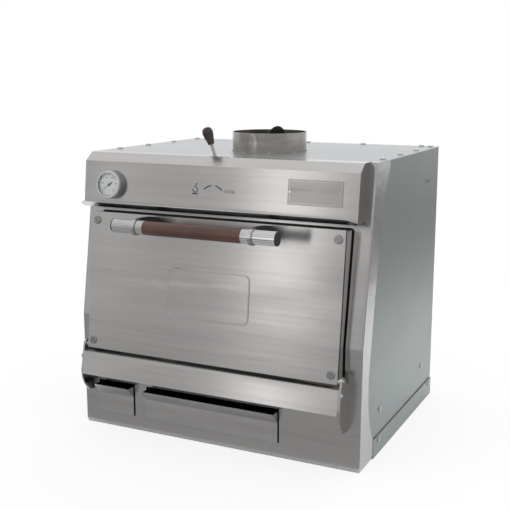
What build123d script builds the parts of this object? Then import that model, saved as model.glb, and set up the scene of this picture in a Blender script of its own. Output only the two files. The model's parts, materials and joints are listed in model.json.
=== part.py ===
from build123d import *
from math import cos, radians, sin, sqrt, tan
import os

os.makedirs("parts", exist_ok=True)

# Charcoal oven with a drop-down door, in millimetres. +Z is up, +X is to the right seen from the front,
# the front faces -Y, and the origin is the centre of the rectangle that the body stands on.

# Body
WIDTH = 720.0
DEPTH = 572.0
HEIGHT = 668.0
SHEET = 1.5
FRONT_BEND_Z = 278.0
FRONT_LEAN = 9.6
FRONT_EDGE_R = 4.0
FRONT_FOOT_R = 8.0

# Side flange of the front shell, measured back from the vertical front
FLANGE_WIDTH = 45.5
FLARE_FOOT_Z = 44.0
FLARE_FOOT_R = 217.0
FLARE_FOOT_TOP = 170.0
FLANGE_LEAN_Z = 205.0
FLARE_TOP_DROP = 163.0
FLARE_TOP_R = 340.0
FLARE_END_DROP = 23.0
FLARE_END_RUN = 3.5
FLANGE_LAP = 16.0

# Base
BASE_PLATE = 3.0
BASE_WALL_Z = 70.0
STRIP_HEIGHT = 45.0
STRIP_GAP = 4.0
STRIP_PROUD = 1.0

# Common plane of the door face and the hood face
FACE_LEAN = 6.7
DOOR_STANDOFF = 39.8
DOOR_BOTTOM_Z = 208.5

# Openings in the front shell
MOUTH_MARGIN = 38.5
MOUTH_BELOW_DOOR = 10.5
MOUTH_BELOW_HOOD = 14.0
MOUTH_CORNER_R = 8.0

# Door, with depths measured inward from its face
DOOR_MARGIN = 41.5
DOOR_BELOW_HOOD = 12.13
DOOR_R = 1.5
PAN_R = 2.0
DOOR_SKIN = 2.0
DOOR_SPACER = 5.0
DOOR_SPACER_INSET = 4.0
DOOR_PAN_DEPTH = 29.0
DOOR_BACK = 2.0
PLUG_SIDE_INSET = 23.5
PLUG_BOTTOM = 19.0
PLUG_TOP_INSET = 27.6
PLUG_DEPTH = 24.0
SEAL_DEPTH = 8.4
SEAL_BAND = 9.0
SEAL_INSET = 9.0
SEAL_GAP = 0.3
SEAL_EDGE_R = 3.0
PLUG_R = 6.0
PLUG_WOOL_GAP = 0.5
BADGE_WIDTH = 204.0
BADGE_HEIGHT = 110.0
BADGE_R = 15.0
BADGE_RAISE = 0.8
BADGE_UP = 156.0
SCREW_INSET_X = 15.0
SCREW_INSET_TOP = 20.6
SCREW_INSET_BOTTOM = 19.3
SCREW_HEAD_R = 9.5
SCREW_HEAD = 3.2
SCREW_R = 3.0
SLOT_WIDTH = 1.6
SLOT_DEPTH = 1.2
SLOT_TURNS = (50, -45, -65, -30)

# Hinge, with the pivot and the brackets' outline measured from the lower edge of the door face
PIVOT_IN = 7.0
PIVOT_UP = 7.0
PIN_R = 5.0
PIN_GRIP = 12.0
PIN_CLEARANCE = 0.06
PRESS_GAP = 0.05
BRACKET_GAP = 7.5
BRACKET = 4.0
BRACKET_EAR_R = 10.0
BRACKET_FOOT = 26.0
BRACKET_FOOT_UP = -83.5
BRACKET_LOW_UP = -115.5
BRACKET_FRONT = ((-5.0, -115.5), (-28.0, -111.5), (-55.0, -53.5))
BRACKET_BEND = (-46.0, -90.5)
PIN_REACH = 3.0

# Handle
HANDLE_OUT = 82.0
HANDLE_DROP = 23.6
HANDLE_R = 15.5
GRIP_LENGTH = 240.0
FERRULE = 79.0
CAP = 3.0
CORE_R = 6.0
ARM_X = 143.0
ARM = 8.0
ARM_EYE_R = 18.0
ARM_FOOT_BELOW = 15.0
ARM_FOOT_ABOVE = 21.0
ARM_NECK = 6.0
FLUTES = 24
FLUTE_R = 1.1

# Drip tray, as places back from the vertical front and up from the lower edge of the door face
TRAY_GAP = 0.3
TRAY_BACK = (-37.0, -5.9)
TRAY_BEND = (-46.0, -9.1)
TRAY_FOOT = (-58.3, -62.7)
TRAY_LIP = (-49.0, -66.0)
TRAY_TAB = ((-52.7, -38.5), (-35.0, -38.5))
TRAY_SCREW = (-42.0, -22.5)
TRAY_SCREW_R = 3.5
TRAY_SCREW_HEAD_R = 6.0
TRAY_SCREW_HEAD = 3.5

# Hood cover
HOOD_MARGIN = 17.0
HOOD_HEIGHT = 106.0
HOOD_SHOULDER = 17.0
HOOD_CHAMFER = 25.42
HOOD_FLANGE = 42.4
LIP_RUN = 27.5
LIP_RISE = 14.0
LIP_R = 25.0

# Thermometer, with distances measured outward from the hood face
DIAL_MARGIN = 93.0
DIAL_UP = 52.2
CASE_R = 31.0
CASE_WALL = 1.5
CASE_BACK = 2.0
CASE_LEDGE = 10.0
CASE_DEPTH = 15.0
DIAL = 0.8
BEZEL_R = 32.5
BEZEL_BACK = 11.5
BEZEL_FRONT = 18.5
BEZEL_LIP_R = 27.5
GLASS = 1.5
GLASS_BACK = 14.0
BOSS_R = 7.0
BOSS = 4.0
PROBE_R = 4.0
PROBE_LENGTH = 146.0
SPINDLE_R = 1.0
SPINDLE_CLEARANCE = 0.06
POINTER_BACK = 11.8
POINTER = 0.8
POINTER_TIP = 21.5
POINTER_TAIL = 8.0
POINTER_ANGLE = 217.0
POINTER_HALF_WIDTH = 0.9
BEZEL_EDGE_R = 1.4
FACE_FIT = 0.2

# Name plate
PLATE_MARGIN = 115.2
PLATE_UP = 60.3
PLATE_WIDTH = 125.0
PLATE_HEIGHT = 54.8
PLATE = 1.2
PLATE_R = 1.5
RIVET_R = 2.6
RIVET = 1.2
RIVET_INSET = 5.0

# Flue and damper
FLUE_X = 15.0
FLUE_Y = -12.0
FLUE_R = 90.3
FLUE_WALL = 1.5
FLUE_RISE = 46.0
FLUE_THROAT_WALL = 3.0
FLUE_SEAT = 0.3
SHAFT_DROP = 23.0
SHAFT_R = 6.0
SHAFT_CLEARANCE = 0.06
SHAFT_REACH = 14.0
DISC_R = 84.5
DISC = 2.0
DISC_SEAT = 4.0
DISC_TILT = 10.5
BUSH_R = 11.0
BUSH = 10.0
BUSH_FLANGE_R = 14.0
BUSH_FLANGE = 2.0
LEVER_IN = 7.9
LEVER_TILT = 19.8
LEVER_OFFSET = 18.2
LEVER_R = 4.0
LEVER_TAIL = 7.0
LEVER_END = 73.0
HUB = 12.0
HUB_R = 11.0
HUB_TIP_R = 9.0
KNOB_START = 61.4
KNOB_LENGTH = 39.6
KNOB_BOTTOM_R = 7.0
KNOB_R = 11.5
LEVER_SLOT = (-30.0, 26.0)
LEVER_SLOT_WIDTH = 10.0

# Drawers, the narrow one at a margin from the left side and the wide one beside it
AIR_DRAWER_MARGIN = 44.5
AIR_DRAWER_WIDTH = 98.5
AIR_DRAWER_LENGTH = 150.0
DRAWER_SPACE = 37.0
ASH_DRAWER_WIDTH = 345.0
ASH_DRAWER_REAR = 132.0
DRAWER_GAP = 2.5
DRAWER_MOUTH_LOW = 35.5
DRAWER_MOUTH_HIGH = 116.0
DRAWER_FRONT_LOW = 37.5
DRAWER_BEND_Z = 85.0
DRAWER_PROUD = 4.0
DRAWER_WALL = 1.5
DRAWER_SIDE = 6.0
DRAWER_BOX_LOW = 38.3
DRAWER_BOX_HIGH = 84.0
PULL_OUT = 25.0
PULL_UP = 27.0
PULL_R = 6.0
RUNNER = 2.0
RUNNER_LEDGE = 15.0
RUNNER_CLEARANCE = 0.3
RUNNER_INSET = 3.0
RUNNER_REACH = 10.0
WINDOW_START = 200.0
WINDOW_PITCH = 70.0
WINDOW = 45.0
WINDOWS = 3
WINDOW_LOW_GAP = 6.0
WINDOW_HIGH_GAP = 8.0

# Inner oven
LINER_MARGIN = 60.0
LINER = 3.0
LINER_REAR = 37.0
LINER_DROP = 68.0
HEADER_BACK = 78.0
HEARTH_Z = 118.0
HEARTH = 3.0
HEARTH_FRONT = 5.0
ASH_HOLE_FRONT = 60.0
ASH_HOLE_REAR = 30.0
HEADER_GAP = 0.2
THROAT_GAP = 6.0
THROAT_RIM_MARGIN = 15.0
THROAT_RIM_LOW = -14.0
THROAT_RIM_RISE = 4.4
GRATE_MARGIN = 15.0
GRATE_FRONT = 45.0
GRATE_REAR = 20.0
GRATE_BAR = 9.0
GRATE_BARS = 21
GRATE_HEIGHT = 16.0
GRATE_TIE_DROP = 4.0
RAIL_FIRST_Z = 290.0
RAIL_PITCH = 70.0
RAILS = 3
RAIL = 20.0
RAIL_THICK = 3.0
RAIL_FRONT = 90.0
RAIL_REAR = 20.0
GRILL_BAR_R = 4.0
GRILL_BARS = 21
GRILL_FRAME = 9.0
GRILL_LEVEL = 1
GRILL_SIDE_GAP = 1.0
GRILL_END_GAP = 5.0
WOOL_GAP = 0.5
WOOL_MARGIN = 10.0
WOOL_FRONT = 100.0
WOOL_TOP_FRONT = 10.0

# Fasteners of the body, with places measured back from the front and up
ROOF_BOLT_R = 7.0
ROOF_BOLT = 3.6
ROOF_BOLT_MARGIN = 17.0
ROOF_BOLT_FRONT = 156.0
ROOF_BOLT_REAR = 23.0
ROOF_BOLT_ROWS = 4
ROOF_BOLT_BACK_REAR = 15.0
ROOF_BOLT_BACK_MARGIN = 43.0
BOLT_SHANK_R = 3.0
BOLT_SHANK = 8.0
BOLT_HOLE_GAP = 0.2
PANEL_SCREW_REAR = 97.0
PANEL_SCREW_DROP = 79.0
PANEL_SCREW_FRONT = 131.0
PANEL_SCREW_UP = 104.0
STRIP_SCREW_FRONT = 121.0
STRIP_SCREW_REAR = 26.0
STRIP_SCREW_UP = 34.0
PANEL_SCREW_R = 6.5
PANEL_SCREW = 2.6

# Values that follow from the sizes above
FRONT_Y = -DEPTH / 2
BACK_Y = DEPTH / 2
HALF = WIDTH / 2
SHELL_TOP_Z = HEIGHT - SHEET
FACE_C = cos(radians(FACE_LEAN))
FACE_S = sin(radians(FACE_LEAN))
FACE_T = tan(radians(FACE_LEAN))
LEAN_T = tan(radians(FRONT_LEAN))
LEAN_C = cos(radians(FRONT_LEAN))
LEAN_S = sin(radians(FRONT_LEAN))
HOOD_CHAMFER_Z = HEIGHT - HOOD_SHOULDER
HOOD_BOTTOM_Z = HOOD_CHAMFER_Z - HOOD_HEIGHT
MOUTH_HALF = HALF - MOUTH_MARGIN
MOUTH_BOTTOM_Z = DOOR_BOTTOM_Z - MOUTH_BELOW_DOOR
MOUTH_TOP_Z = HOOD_BOTTOM_Z - MOUTH_BELOW_HOOD
DOOR_HALF = HALF - DOOR_MARGIN
DOOR_WIDTH = 2 * DOOR_HALF
DOOR_HEIGHT = (HOOD_BOTTOM_Z - DOOR_BELOW_HOOD - DOOR_BOTTOM_Z) / FACE_C
PLUG_WIDTH = DOOR_WIDTH - 2 * PLUG_SIDE_INSET
PLUG_HEIGHT = DOOR_HEIGHT - PLUG_BOTTOM - PLUG_TOP_INSET
HANDLE_UP = DOOR_HEIGHT - HANDLE_DROP
ARM_FOOT_LOW = HANDLE_UP - ARM_FOOT_BELOW
ARM_FOOT_HIGH = HANDLE_UP + ARM_FOOT_ABOVE
THROAT_HALF = PLUG_WIDTH / 2 + THROAT_GAP
THROAT_LOW = PLUG_BOTTOM - THROAT_GAP
THROAT_HIGH = PLUG_BOTTOM + PLUG_HEIGHT + THROAT_GAP
THROAT_RIM_HALF = HALF - THROAT_RIM_MARGIN
THROAT_RIM_HIGH = DOOR_HEIGHT + THROAT_RIM_RISE
LINER_HALF = HALF - LINER_MARGIN
LINER_TOP_Z = HEIGHT - LINER_DROP
GRATE_HALF = LINER_HALF - GRATE_MARGIN
WOOL_OUT = HALF - WOOL_MARGIN
BRACKET_X = DOOR_HALF + BRACKET_GAP
DIAL_X = DIAL_MARGIN - HALF
DIAL_Z = HOOD_BOTTOM_Z + DIAL_UP
PLATE_X = HALF - PLATE_MARGIN
PLATE_Z = HOOD_BOTTOM_Z + PLATE_UP
FLUE_TOP_Z = HEIGHT + FLUE_RISE
SHAFT_Z = HEIGHT - SHAFT_DROP
FLARE_TOP_Z = HEIGHT - FLARE_TOP_DROP
FLARE_END_Z = HEIGHT - FLARE_END_DROP
PAN_FRONT = DOOR_SKIN + DOOR_SPACER
PAN_REAR = PAN_FRONT + DOOR_PAN_DEPTH
SEAL_REAR = PAN_REAR + DOOR_BACK + SEAL_DEPTH
FLUE_BORE = FLUE_R - FLUE_WALL
FLUE_THROAT_R = FLUE_BORE + FLUE_THROAT_WALL
HOOD_HALF = HALF - HOOD_MARGIN


def front_y(z):
    """The front shell's outer surface at height z."""
    return FRONT_Y + max(0.0, z - FRONT_BEND_Z) * LEAN_T


def face_y(z):
    """The door and hood face at height z."""
    return FRONT_Y - DOOR_STANDOFF + (z - DOOR_BOTTOM_Z) * FACE_T


def face_point(up, inward):
    """Y and Z of a point that lies up along the face and inward from it."""
    y = FRONT_Y - DOOR_STANDOFF + up * FACE_S + inward * FACE_C
    z = DOOR_BOTTOM_Z + up * FACE_C - inward * FACE_S
    return y, z


def from_door(spot):
    """Y and Z of a place given back from the vertical front and up from the door's lower edge."""
    return FRONT_Y + spot[0], DOOR_BOTTOM_Z + spot[1]


def facing(y):
    """A plane that looks to the front at depth y, with X to the right and Z up."""
    return Plane(origin=(0, y, 0), x_dir=(1, 0, 0), z_dir=(0, -1, 0))


def across(x, y, z):
    """A plane that looks to the right from the point x, y, z."""
    return Plane(origin=(x, y, z), x_dir=(0, 1, 0), z_dir=(1, 0, 0))


def crossing(p, d, q, e):
    """Where the line through p along d meets the line through q along e."""
    t = ((q[0] - p[0]) * e[1] - (q[1] - p[1]) * e[0]) / (d[0] * e[1] - d[1] * e[0])
    return p[0] + d[0] * t, p[1] + d[1] * t


def block(x0, x1, y0, y1, z0, z1, mode=Mode.ADD):
    """A box given by its two corners."""
    with Locations(((x0 + x1) / 2, (y0 + y1) / 2, (z0 + z1) / 2)):
        Box(x1 - x0, y1 - y0, z1 - z0, mode=mode)


def save(part, name):
    part.label = name
    export_step(part, f"parts/{name}.step")


FACE = Plane(
    origin=(0, FRONT_Y - DOOR_STANDOFF, DOOR_BOTTOM_Z),
    x_dir=(1, 0, 0),
    z_dir=(0, -FACE_C, FACE_S),
)
DIAL_PLANE = Plane(
    origin=(DIAL_X, face_y(DIAL_Z), DIAL_Z),
    x_dir=(1, 0, 0),
    z_dir=(0, -FACE_C, FACE_S),
)
NAME_PLANE = Plane(
    origin=(PLATE_X, face_y(PLATE_Z), PLATE_Z),
    x_dir=(1, 0, 0),
    z_dir=(0, -FACE_C, FACE_S),
)
PIVOT_Y, PIVOT_Z = face_point(PIVOT_UP, PIVOT_IN)
SHAFT_X = FLUE_X
HOOD_CHAMFER_END_Y = face_y(HOOD_CHAMFER_Z) + HOOD_CHAMFER
LEVER_Y = HOOD_CHAMFER_END_Y + LEVER_IN
SHAFT_AXIS_FRONT = LEVER_Y - HUB / 2
LEVER_C = cos(radians(LEVER_TILT))
LEVER_S = sin(radians(LEVER_TILT))
AIR_LEFT = AIR_DRAWER_MARGIN - HALF
AIR_RIGHT = AIR_LEFT + AIR_DRAWER_WIDTH
ASH_LEFT = AIR_RIGHT + DRAWER_SPACE
ASH_RIGHT = ASH_LEFT + ASH_DRAWER_WIDTH
ASH_LENGTH = DEPTH - ASH_DRAWER_REAR
DRAWERS = {
    "ash_drawer": (ASH_LEFT, ASH_RIGHT, ASH_LENGTH),
    "air_drawer": (AIR_LEFT, AIR_RIGHT, AIR_DRAWER_LENGTH),
}
ROOF_BOLT_X = HALF - ROOF_BOLT_MARGIN
ROOF_BOLT_PITCH = (DEPTH - ROOF_BOLT_FRONT - ROOF_BOLT_REAR) / (ROOF_BOLT_ROWS - 1)
ROOF_BOLT_YS = [FRONT_Y + ROOF_BOLT_FRONT + k * ROOF_BOLT_PITCH for k in range(ROOF_BOLT_ROWS)]
ROOF_BOLTS = [(side * ROOF_BOLT_X, y) for side in (-1, 1) for y in ROOF_BOLT_YS]
BACK_BOLT_STEP = (HALF - ROOF_BOLT_BACK_MARGIN) / 2
ROOF_BOLTS += [(k * BACK_BOLT_STEP, BACK_Y - ROOF_BOLT_BACK_REAR) for k in range(-2, 3)]
PANEL_SCREWS = (
    (BACK_Y - PANEL_SCREW_REAR, HEIGHT - PANEL_SCREW_DROP),
    (BACK_Y - PANEL_SCREW_REAR, PANEL_SCREW_UP),
    (FRONT_Y + PANEL_SCREW_FRONT, PANEL_SCREW_UP),
)
STRIP_SCREWS = (
    (FRONT_Y + STRIP_SCREW_FRONT, STRIP_SCREW_UP),
    (BACK_Y - STRIP_SCREW_REAR, STRIP_SCREW_UP),
)
RAIL_LEVELS = [RAIL_FIRST_Z + k * RAIL_PITCH for k in range(RAILS)]

# The seam between the front shell's flange and the side panel is a vertical foot, an arc, a straight
# run parallel to the front, and an arc that flares to the top.
FOOT_ARC_Y = FRONT_Y + FLANGE_WIDTH + FLARE_FOOT_R
SEAM_FOOT_Y = FOOT_ARC_Y - sqrt(FLARE_FOOT_R**2 - (FLARE_FOOT_TOP - FLARE_FOOT_Z) ** 2)
SEAM_FOOT_MID_Z = (FLARE_FOOT_Z + FLARE_FOOT_TOP) / 2
SEAM_FOOT_MID_Y = FOOT_ARC_Y - sqrt(FLARE_FOOT_R**2 - (FLARE_FOOT_TOP - SEAM_FOOT_MID_Z) ** 2)
SEAM_RUN_Y = FRONT_Y + FLANGE_WIDTH
SEAM_RUN_END_Y = SEAM_RUN_Y + (FLARE_TOP_Z - FLANGE_LEAN_Z) * LEAN_T
TOP_ARC_Y = SEAM_RUN_END_Y + FLARE_TOP_R * LEAN_C
TOP_ARC_Z = FLARE_TOP_Z - FLARE_TOP_R * LEAN_S
SEAM_MID_Z = (FLARE_TOP_Z + FLARE_END_Z) / 2
SEAM_MID_Y = TOP_ARC_Y - sqrt(FLARE_TOP_R**2 - (SEAM_MID_Z - TOP_ARC_Z) ** 2)
SEAM_END_Y = TOP_ARC_Y - sqrt(FLARE_TOP_R**2 - (FLARE_END_Z - TOP_ARC_Z) ** 2)
SEAM_TOP_Y = SEAM_END_Y + FLARE_END_RUN


def seam(shift):
    """Draws the seam, moved back by shift, from the floor to the top of the shell."""
    Line((SEAM_FOOT_Y + shift, 0), (SEAM_FOOT_Y + shift, FLARE_FOOT_Z))
    ThreePointArc(
        (SEAM_FOOT_Y + shift, FLARE_FOOT_Z),
        (SEAM_FOOT_MID_Y + shift, SEAM_FOOT_MID_Z),
        (SEAM_RUN_Y + shift, FLARE_FOOT_TOP),
    )
    Polyline(
        (SEAM_RUN_Y + shift, FLARE_FOOT_TOP),
        (SEAM_RUN_Y + shift, FLANGE_LEAN_Z),
        (SEAM_RUN_END_Y + shift, FLARE_TOP_Z),
    )
    ThreePointArc(
        (SEAM_RUN_END_Y + shift, FLARE_TOP_Z),
        (SEAM_MID_Y + shift, SEAM_MID_Z),
        (SEAM_END_Y + shift, FLARE_END_Z),
    )
    Line((SEAM_END_Y + shift, FLARE_END_Z), (SEAM_TOP_Y + shift, SHELL_TOP_Z))


# Front shell: one sheet whose front is bent once across and whose sides turn back to the seam
with BuildPart() as shell_hollow:
    with BuildSketch(Plane.YZ):
        with BuildLine():
            reach = SHELL_TOP_Z + 20
            Polyline(
                (FRONT_Y + SHEET, -1),
                (FRONT_Y + SHEET, FRONT_BEND_Z),
                (front_y(reach) + SHEET / LEAN_C, reach),
                (BACK_Y, reach),
                (BACK_Y, -1),
                close=True,
            )
        make_face()
    extrude(amount=HALF - SHEET, both=True)
    bends = shell_hollow.edges().filter_by(lambda e: abs(e.center().X) > HALF - SHEET - 0.01)
    bends = bends.filter_by(lambda e: e.center().Y < front_y(e.center().Z) + 2 * SHEET)
    fillet(bends.filter_by(lambda e: e.length > FRONT_BEND_Z - 10), radius=FRONT_EDGE_R - SHEET)

with BuildPart() as front_shell:
    with BuildSketch(Plane.YZ):
        with BuildLine():
            seam(0)
            Polyline(
                (SEAM_TOP_Y, SHELL_TOP_Z),
                (front_y(SHELL_TOP_Z), SHELL_TOP_Z),
                (FRONT_Y, FRONT_BEND_Z),
                (FRONT_Y, 0),
                (SEAM_FOOT_Y, 0),
            )
        make_face()
    extrude(amount=HALF, both=True)
    bends = front_shell.edges().filter_by(lambda e: abs(e.center().X) > HALF - 0.01)
    bends = bends.filter_by(lambda e: e.center().Y < front_y(e.center().Z) + 0.5)
    fillet(bends.filter_by(lambda e: e.length > FRONT_BEND_Z - 10), radius=FRONT_EDGE_R)
    feet = front_shell.edges().filter_by(lambda e: abs(e.center().X) > HALF - 0.01 and e.center().Z < 0.01)
    fillet(feet, radius=FRONT_FOOT_R)
    add(shell_hollow.part, mode=Mode.SUBTRACT)
    with BuildSketch(facing(FRONT_Y - 1)):
        with Locations((0, (MOUTH_BOTTOM_Z + MOUTH_TOP_Z) / 2)):
            RectangleRounded(2 * MOUTH_HALF, MOUTH_TOP_Z - MOUTH_BOTTOM_Z, MOUTH_CORNER_R)
        for left, right, length in DRAWERS.values():
            with Locations(((left + right) / 2, (DRAWER_MOUTH_LOW + DRAWER_MOUTH_HIGH) / 2)):
                RectangleRounded(
                    right - left + 2 * DRAWER_GAP,
                    DRAWER_MOUTH_HIGH - DRAWER_MOUTH_LOW,
                    DRAWER_GAP,
                )
    extrude(amount=-80, mode=Mode.SUBTRACT)
    with BuildSketch(DIAL_PLANE.offset(-BOSS)):
        Circle(PROBE_R + 2)
    extrude(amount=-80, mode=Mode.SUBTRACT)
    with BuildSketch(facing(SHAFT_AXIS_FRONT)):
        with Locations((SHAFT_X, SHAFT_Z)):
            Circle(BUSH_R)
    extrude(amount=-80, mode=Mode.SUBTRACT)
save(front_shell.part, "front_shell")

# Side panels slide under the flanges, and stop above the base strips
PANEL_LOW = STRIP_HEIGHT + STRIP_GAP
for name, side in (("side_panel_left", -1), ("side_panel_right", 1)):
    inner_x = side * (HALF - 2 * SHEET)
    with BuildPart() as side_panel:
        with BuildSketch(Plane.YZ.offset(inner_x)):
            with BuildLine():
                seam(-FLANGE_LAP)
                Polyline(
                    (SEAM_TOP_Y - FLANGE_LAP, SHELL_TOP_Z),
                    (BACK_Y, SHELL_TOP_Z),
                    (BACK_Y, 0),
                    (SEAM_FOOT_Y - FLANGE_LAP, 0),
                )
            make_face()
        extrude(amount=side * SHEET)
        block(-HALF, HALF, FRONT_Y, BACK_Y + 1, -1, PANEL_LOW, mode=Mode.SUBTRACT)
        with BuildSketch(Plane.YZ.offset(inner_x - side)):
            with Locations(*PANEL_SCREWS):
                Circle(BOLT_SHANK_R + BOLT_HOLE_GAP)
        extrude(amount=side * (SHEET + 2), mode=Mode.SUBTRACT)
    save(side_panel.part, name)

with BuildPart() as base_strips:
    for side in (-1, 1):
        with BuildSketch(Plane.YZ.offset(side * (HALF - 2 * SHEET))):
            with Locations(((SEAM_FOOT_Y + BACK_Y) / 2, STRIP_HEIGHT / 2)):
                Rectangle(BACK_Y - SEAM_FOOT_Y - 1, STRIP_HEIGHT)
            with Locations(*STRIP_SCREWS):
                Circle(BOLT_SHANK_R + BOLT_HOLE_GAP, mode=Mode.SUBTRACT)
        extrude(amount=side * (2 * SHEET + STRIP_PROUD))
save(base_strips.part, "base_strips")

# Base pan: the bottom sheet and the low walls that the strips and panels are fixed to
PAN_HALF = HALF - 2 * SHEET
PAN_FRONT_Y = FRONT_Y + 2 * SHEET
PAN_BACK_Y = BACK_Y - SHEET
with BuildPart() as base_pan:
    block(-PAN_HALF, PAN_HALF, PAN_FRONT_Y, PAN_BACK_Y, 0, BASE_PLATE)
    for side in (-1, 1):
        x0, x1 = sorted((side * PAN_HALF, side * (PAN_HALF - SHEET)))
        block(x0, x1, PAN_FRONT_Y, PAN_BACK_Y, 0, BASE_WALL_Z)
    block(-PAN_HALF, PAN_HALF, PAN_BACK_Y - SHEET, PAN_BACK_Y, 0, BASE_WALL_Z)
    with BuildSketch(Plane.YZ.offset(-HALF)):
        with Locations(*STRIP_SCREWS):
            Circle(BOLT_SHANK_R + BOLT_HOLE_GAP)
    extrude(amount=WIDTH, mode=Mode.SUBTRACT)
save(base_pan.part, "base_pan")

with BuildPart() as rear_panel:
    block(-PAN_HALF, PAN_HALF, PAN_BACK_Y, BACK_Y, BASE_PLATE, SHELL_TOP_Z)
save(rear_panel.part, "rear_panel")

with BuildPart() as roof_panel:
    block(-HALF, HALF, front_y(SHELL_TOP_Z), BACK_Y, SHELL_TOP_Z, HEIGHT)
    with BuildSketch(Plane.XY.offset(HEIGHT + 1)):
        with Locations((FLUE_X, FLUE_Y)):
            Circle(FLUE_THROAT_R + FLUE_SEAT)
        with Locations(*ROOF_BOLTS):
            Circle(BOLT_SHANK_R + BOLT_HOLE_GAP)
    extrude(amount=-2 * SHEET, mode=Mode.SUBTRACT)
save(roof_panel.part, "roof_panel")

with BuildPart() as roof_bolts:
    with BuildSketch(Plane.XY.offset(HEIGHT)):
        with Locations(*ROOF_BOLTS):
            Circle(ROOF_BOLT_R)
    extrude(amount=ROOF_BOLT)
    fillet(roof_bolts.faces().filter_by(Axis.Z).group_by(Axis.Z)[-1].edges(), radius=0.55 * ROOF_BOLT)
    with BuildSketch(Plane.XY.offset(HEIGHT - BOLT_SHANK)):
        with Locations(*ROOF_BOLTS):
            Circle(BOLT_SHANK_R)
    extrude(amount=BOLT_SHANK)
save(roof_bolts.part, "roof_bolts")

with BuildPart() as side_screws:
    for side in (-1, 1):
        seats = [(HALF - SHEET, PANEL_SCREWS), (HALF + STRIP_PROUD, STRIP_SCREWS)]
        for seat, spots in seats:
            with BuildSketch(Plane.YZ.offset(side * seat)):
                with Locations(*spots):
                    Circle(PANEL_SCREW_R)
            extrude(amount=side * PANEL_SCREW)
            with BuildSketch(Plane.YZ.offset(side * seat)):
                with Locations(*spots):
                    Circle(BOLT_SHANK_R)
            extrude(amount=-side * BOLT_SHANK)
            with BuildSketch(Plane.YZ.offset(side * (seat + PANEL_SCREW))):
                with Locations(*spots):
                    Rectangle(SLOT_WIDTH, 3 * PANEL_SCREW_R, rotation=35)
            extrude(amount=-side * SLOT_DEPTH, mode=Mode.SUBTRACT)
save(side_screws.part, "side_screws")

# Throat frame: a rim parallel to the door that the seal closes on, and an apron down to the hearth
THROAT_IN = SEAL_REAR + SEAL_GAP
THROAT_BACK = THROAT_IN + LINER
with BuildPart() as throat_frame:
    with BuildSketch(FACE.offset(-THROAT_IN)):
        with Locations((0, (THROAT_RIM_LOW + THROAT_RIM_HIGH) / 2)):
            Rectangle(2 * THROAT_RIM_HALF, THROAT_RIM_HIGH - THROAT_RIM_LOW)
        with Locations((0, (THROAT_LOW + THROAT_HIGH) / 2)):
            RectangleRounded(2 * THROAT_HALF, THROAT_HIGH - THROAT_LOW, PLUG_R, mode=Mode.SUBTRACT)
    extrude(amount=-LINER)
    apron_y, apron_z = face_point(THROAT_RIM_LOW, THROAT_BACK)
    block(
        -LINER_HALF - LINER,
        LINER_HALF + LINER,
        apron_y - LINER,
        apron_y,
        HEARTH_Z + HEARTH,
        apron_z + 2 * LINER,
    )
save(throat_frame.part, "throat_frame")

# Liner: two sides whose front edges follow the back of the throat frame, back, top and header
RIM_BACK_LOW = face_point(THROAT_RIM_LOW, THROAT_BACK)
RIM_BACK_HIGH = face_point(THROAT_RIM_HIGH, THROAT_BACK)
HEARTH_TOP_Z = HEARTH_Z + HEARTH
HEADER_BACK_Y = FRONT_Y + HEADER_BACK
LINER_BACK_Y = BACK_Y - LINER_REAR
for name, side in (("liner_left", -1), ("liner_right", 1)):
    with BuildPart() as liner_side:
        with BuildSketch(Plane.YZ.offset(side * LINER_HALF)):
            with BuildLine():
                Polyline(
                    (RIM_BACK_LOW[0], HEARTH_TOP_Z),
                    RIM_BACK_LOW,
                    RIM_BACK_HIGH,
                    (HEADER_BACK_Y, RIM_BACK_HIGH[1]),
                    (HEADER_BACK_Y, LINER_TOP_Z),
                    (LINER_BACK_Y, LINER_TOP_Z),
                    (LINER_BACK_Y, HEARTH_TOP_Z),
                    close=True,
                )
            make_face()
        extrude(amount=side * LINER)
    save(liner_side.part, name)

LINER_OUT = LINER_HALF + LINER
with BuildPart() as liner_back:
    block(-LINER_OUT, LINER_OUT, LINER_BACK_Y, LINER_BACK_Y + LINER, HEARTH_TOP_Z, LINER_TOP_Z)
save(liner_back.part, "liner_back")

with BuildPart() as liner_header:
    header_low = RIM_BACK_HIGH[1]
    block(-LINER_OUT, LINER_OUT, HEADER_BACK_Y - LINER, HEADER_BACK_Y, header_low, LINER_TOP_Z)
    block(
        -LINER_OUT,
        LINER_OUT,
        RIM_BACK_HIGH[0] + HEADER_GAP,
        HEADER_BACK_Y,
        header_low,
        header_low + LINER,
    )
    with BuildSketch(DIAL_PLANE.offset(-BOSS)):
        Circle(PROBE_R + 0.3)
    extrude(amount=-150, mode=Mode.SUBTRACT)
save(liner_header.part, "liner_header")

with BuildPart() as liner_top:
    block(
        -LINER_OUT,
        LINER_OUT,
        HEADER_BACK_Y - LINER,
        LINER_BACK_Y + LINER,
        LINER_TOP_Z,
        LINER_TOP_Z + LINER,
    )
    with BuildSketch(Plane.XY.offset(LINER_TOP_Z)):
        with Locations((FLUE_X, FLUE_Y)):
            Circle(FLUE_THROAT_R + FLUE_SEAT)
    extrude(amount=LINER, mode=Mode.SUBTRACT)
save(liner_top.part, "liner_top")

# Hearth plate, with the hole that ash falls through
with BuildPart() as hearth_plate:
    block(-LINER_OUT, LINER_OUT, FRONT_Y + HEARTH_FRONT, LINER_BACK_Y + LINER, HEARTH_Z, HEARTH_TOP_Z)
    block(
        ASH_LEFT + 3 * DRAWER_SIDE,
        ASH_RIGHT - 3 * DRAWER_SIDE,
        FRONT_Y + ASH_HOLE_FRONT,
        FRONT_Y + ASH_LENGTH - ASH_HOLE_REAR,
        HEARTH_Z - 1,
        HEARTH_TOP_Z + 1,
        mode=Mode.SUBTRACT,
    )
save(hearth_plate.part, "hearth_plate")

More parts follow.
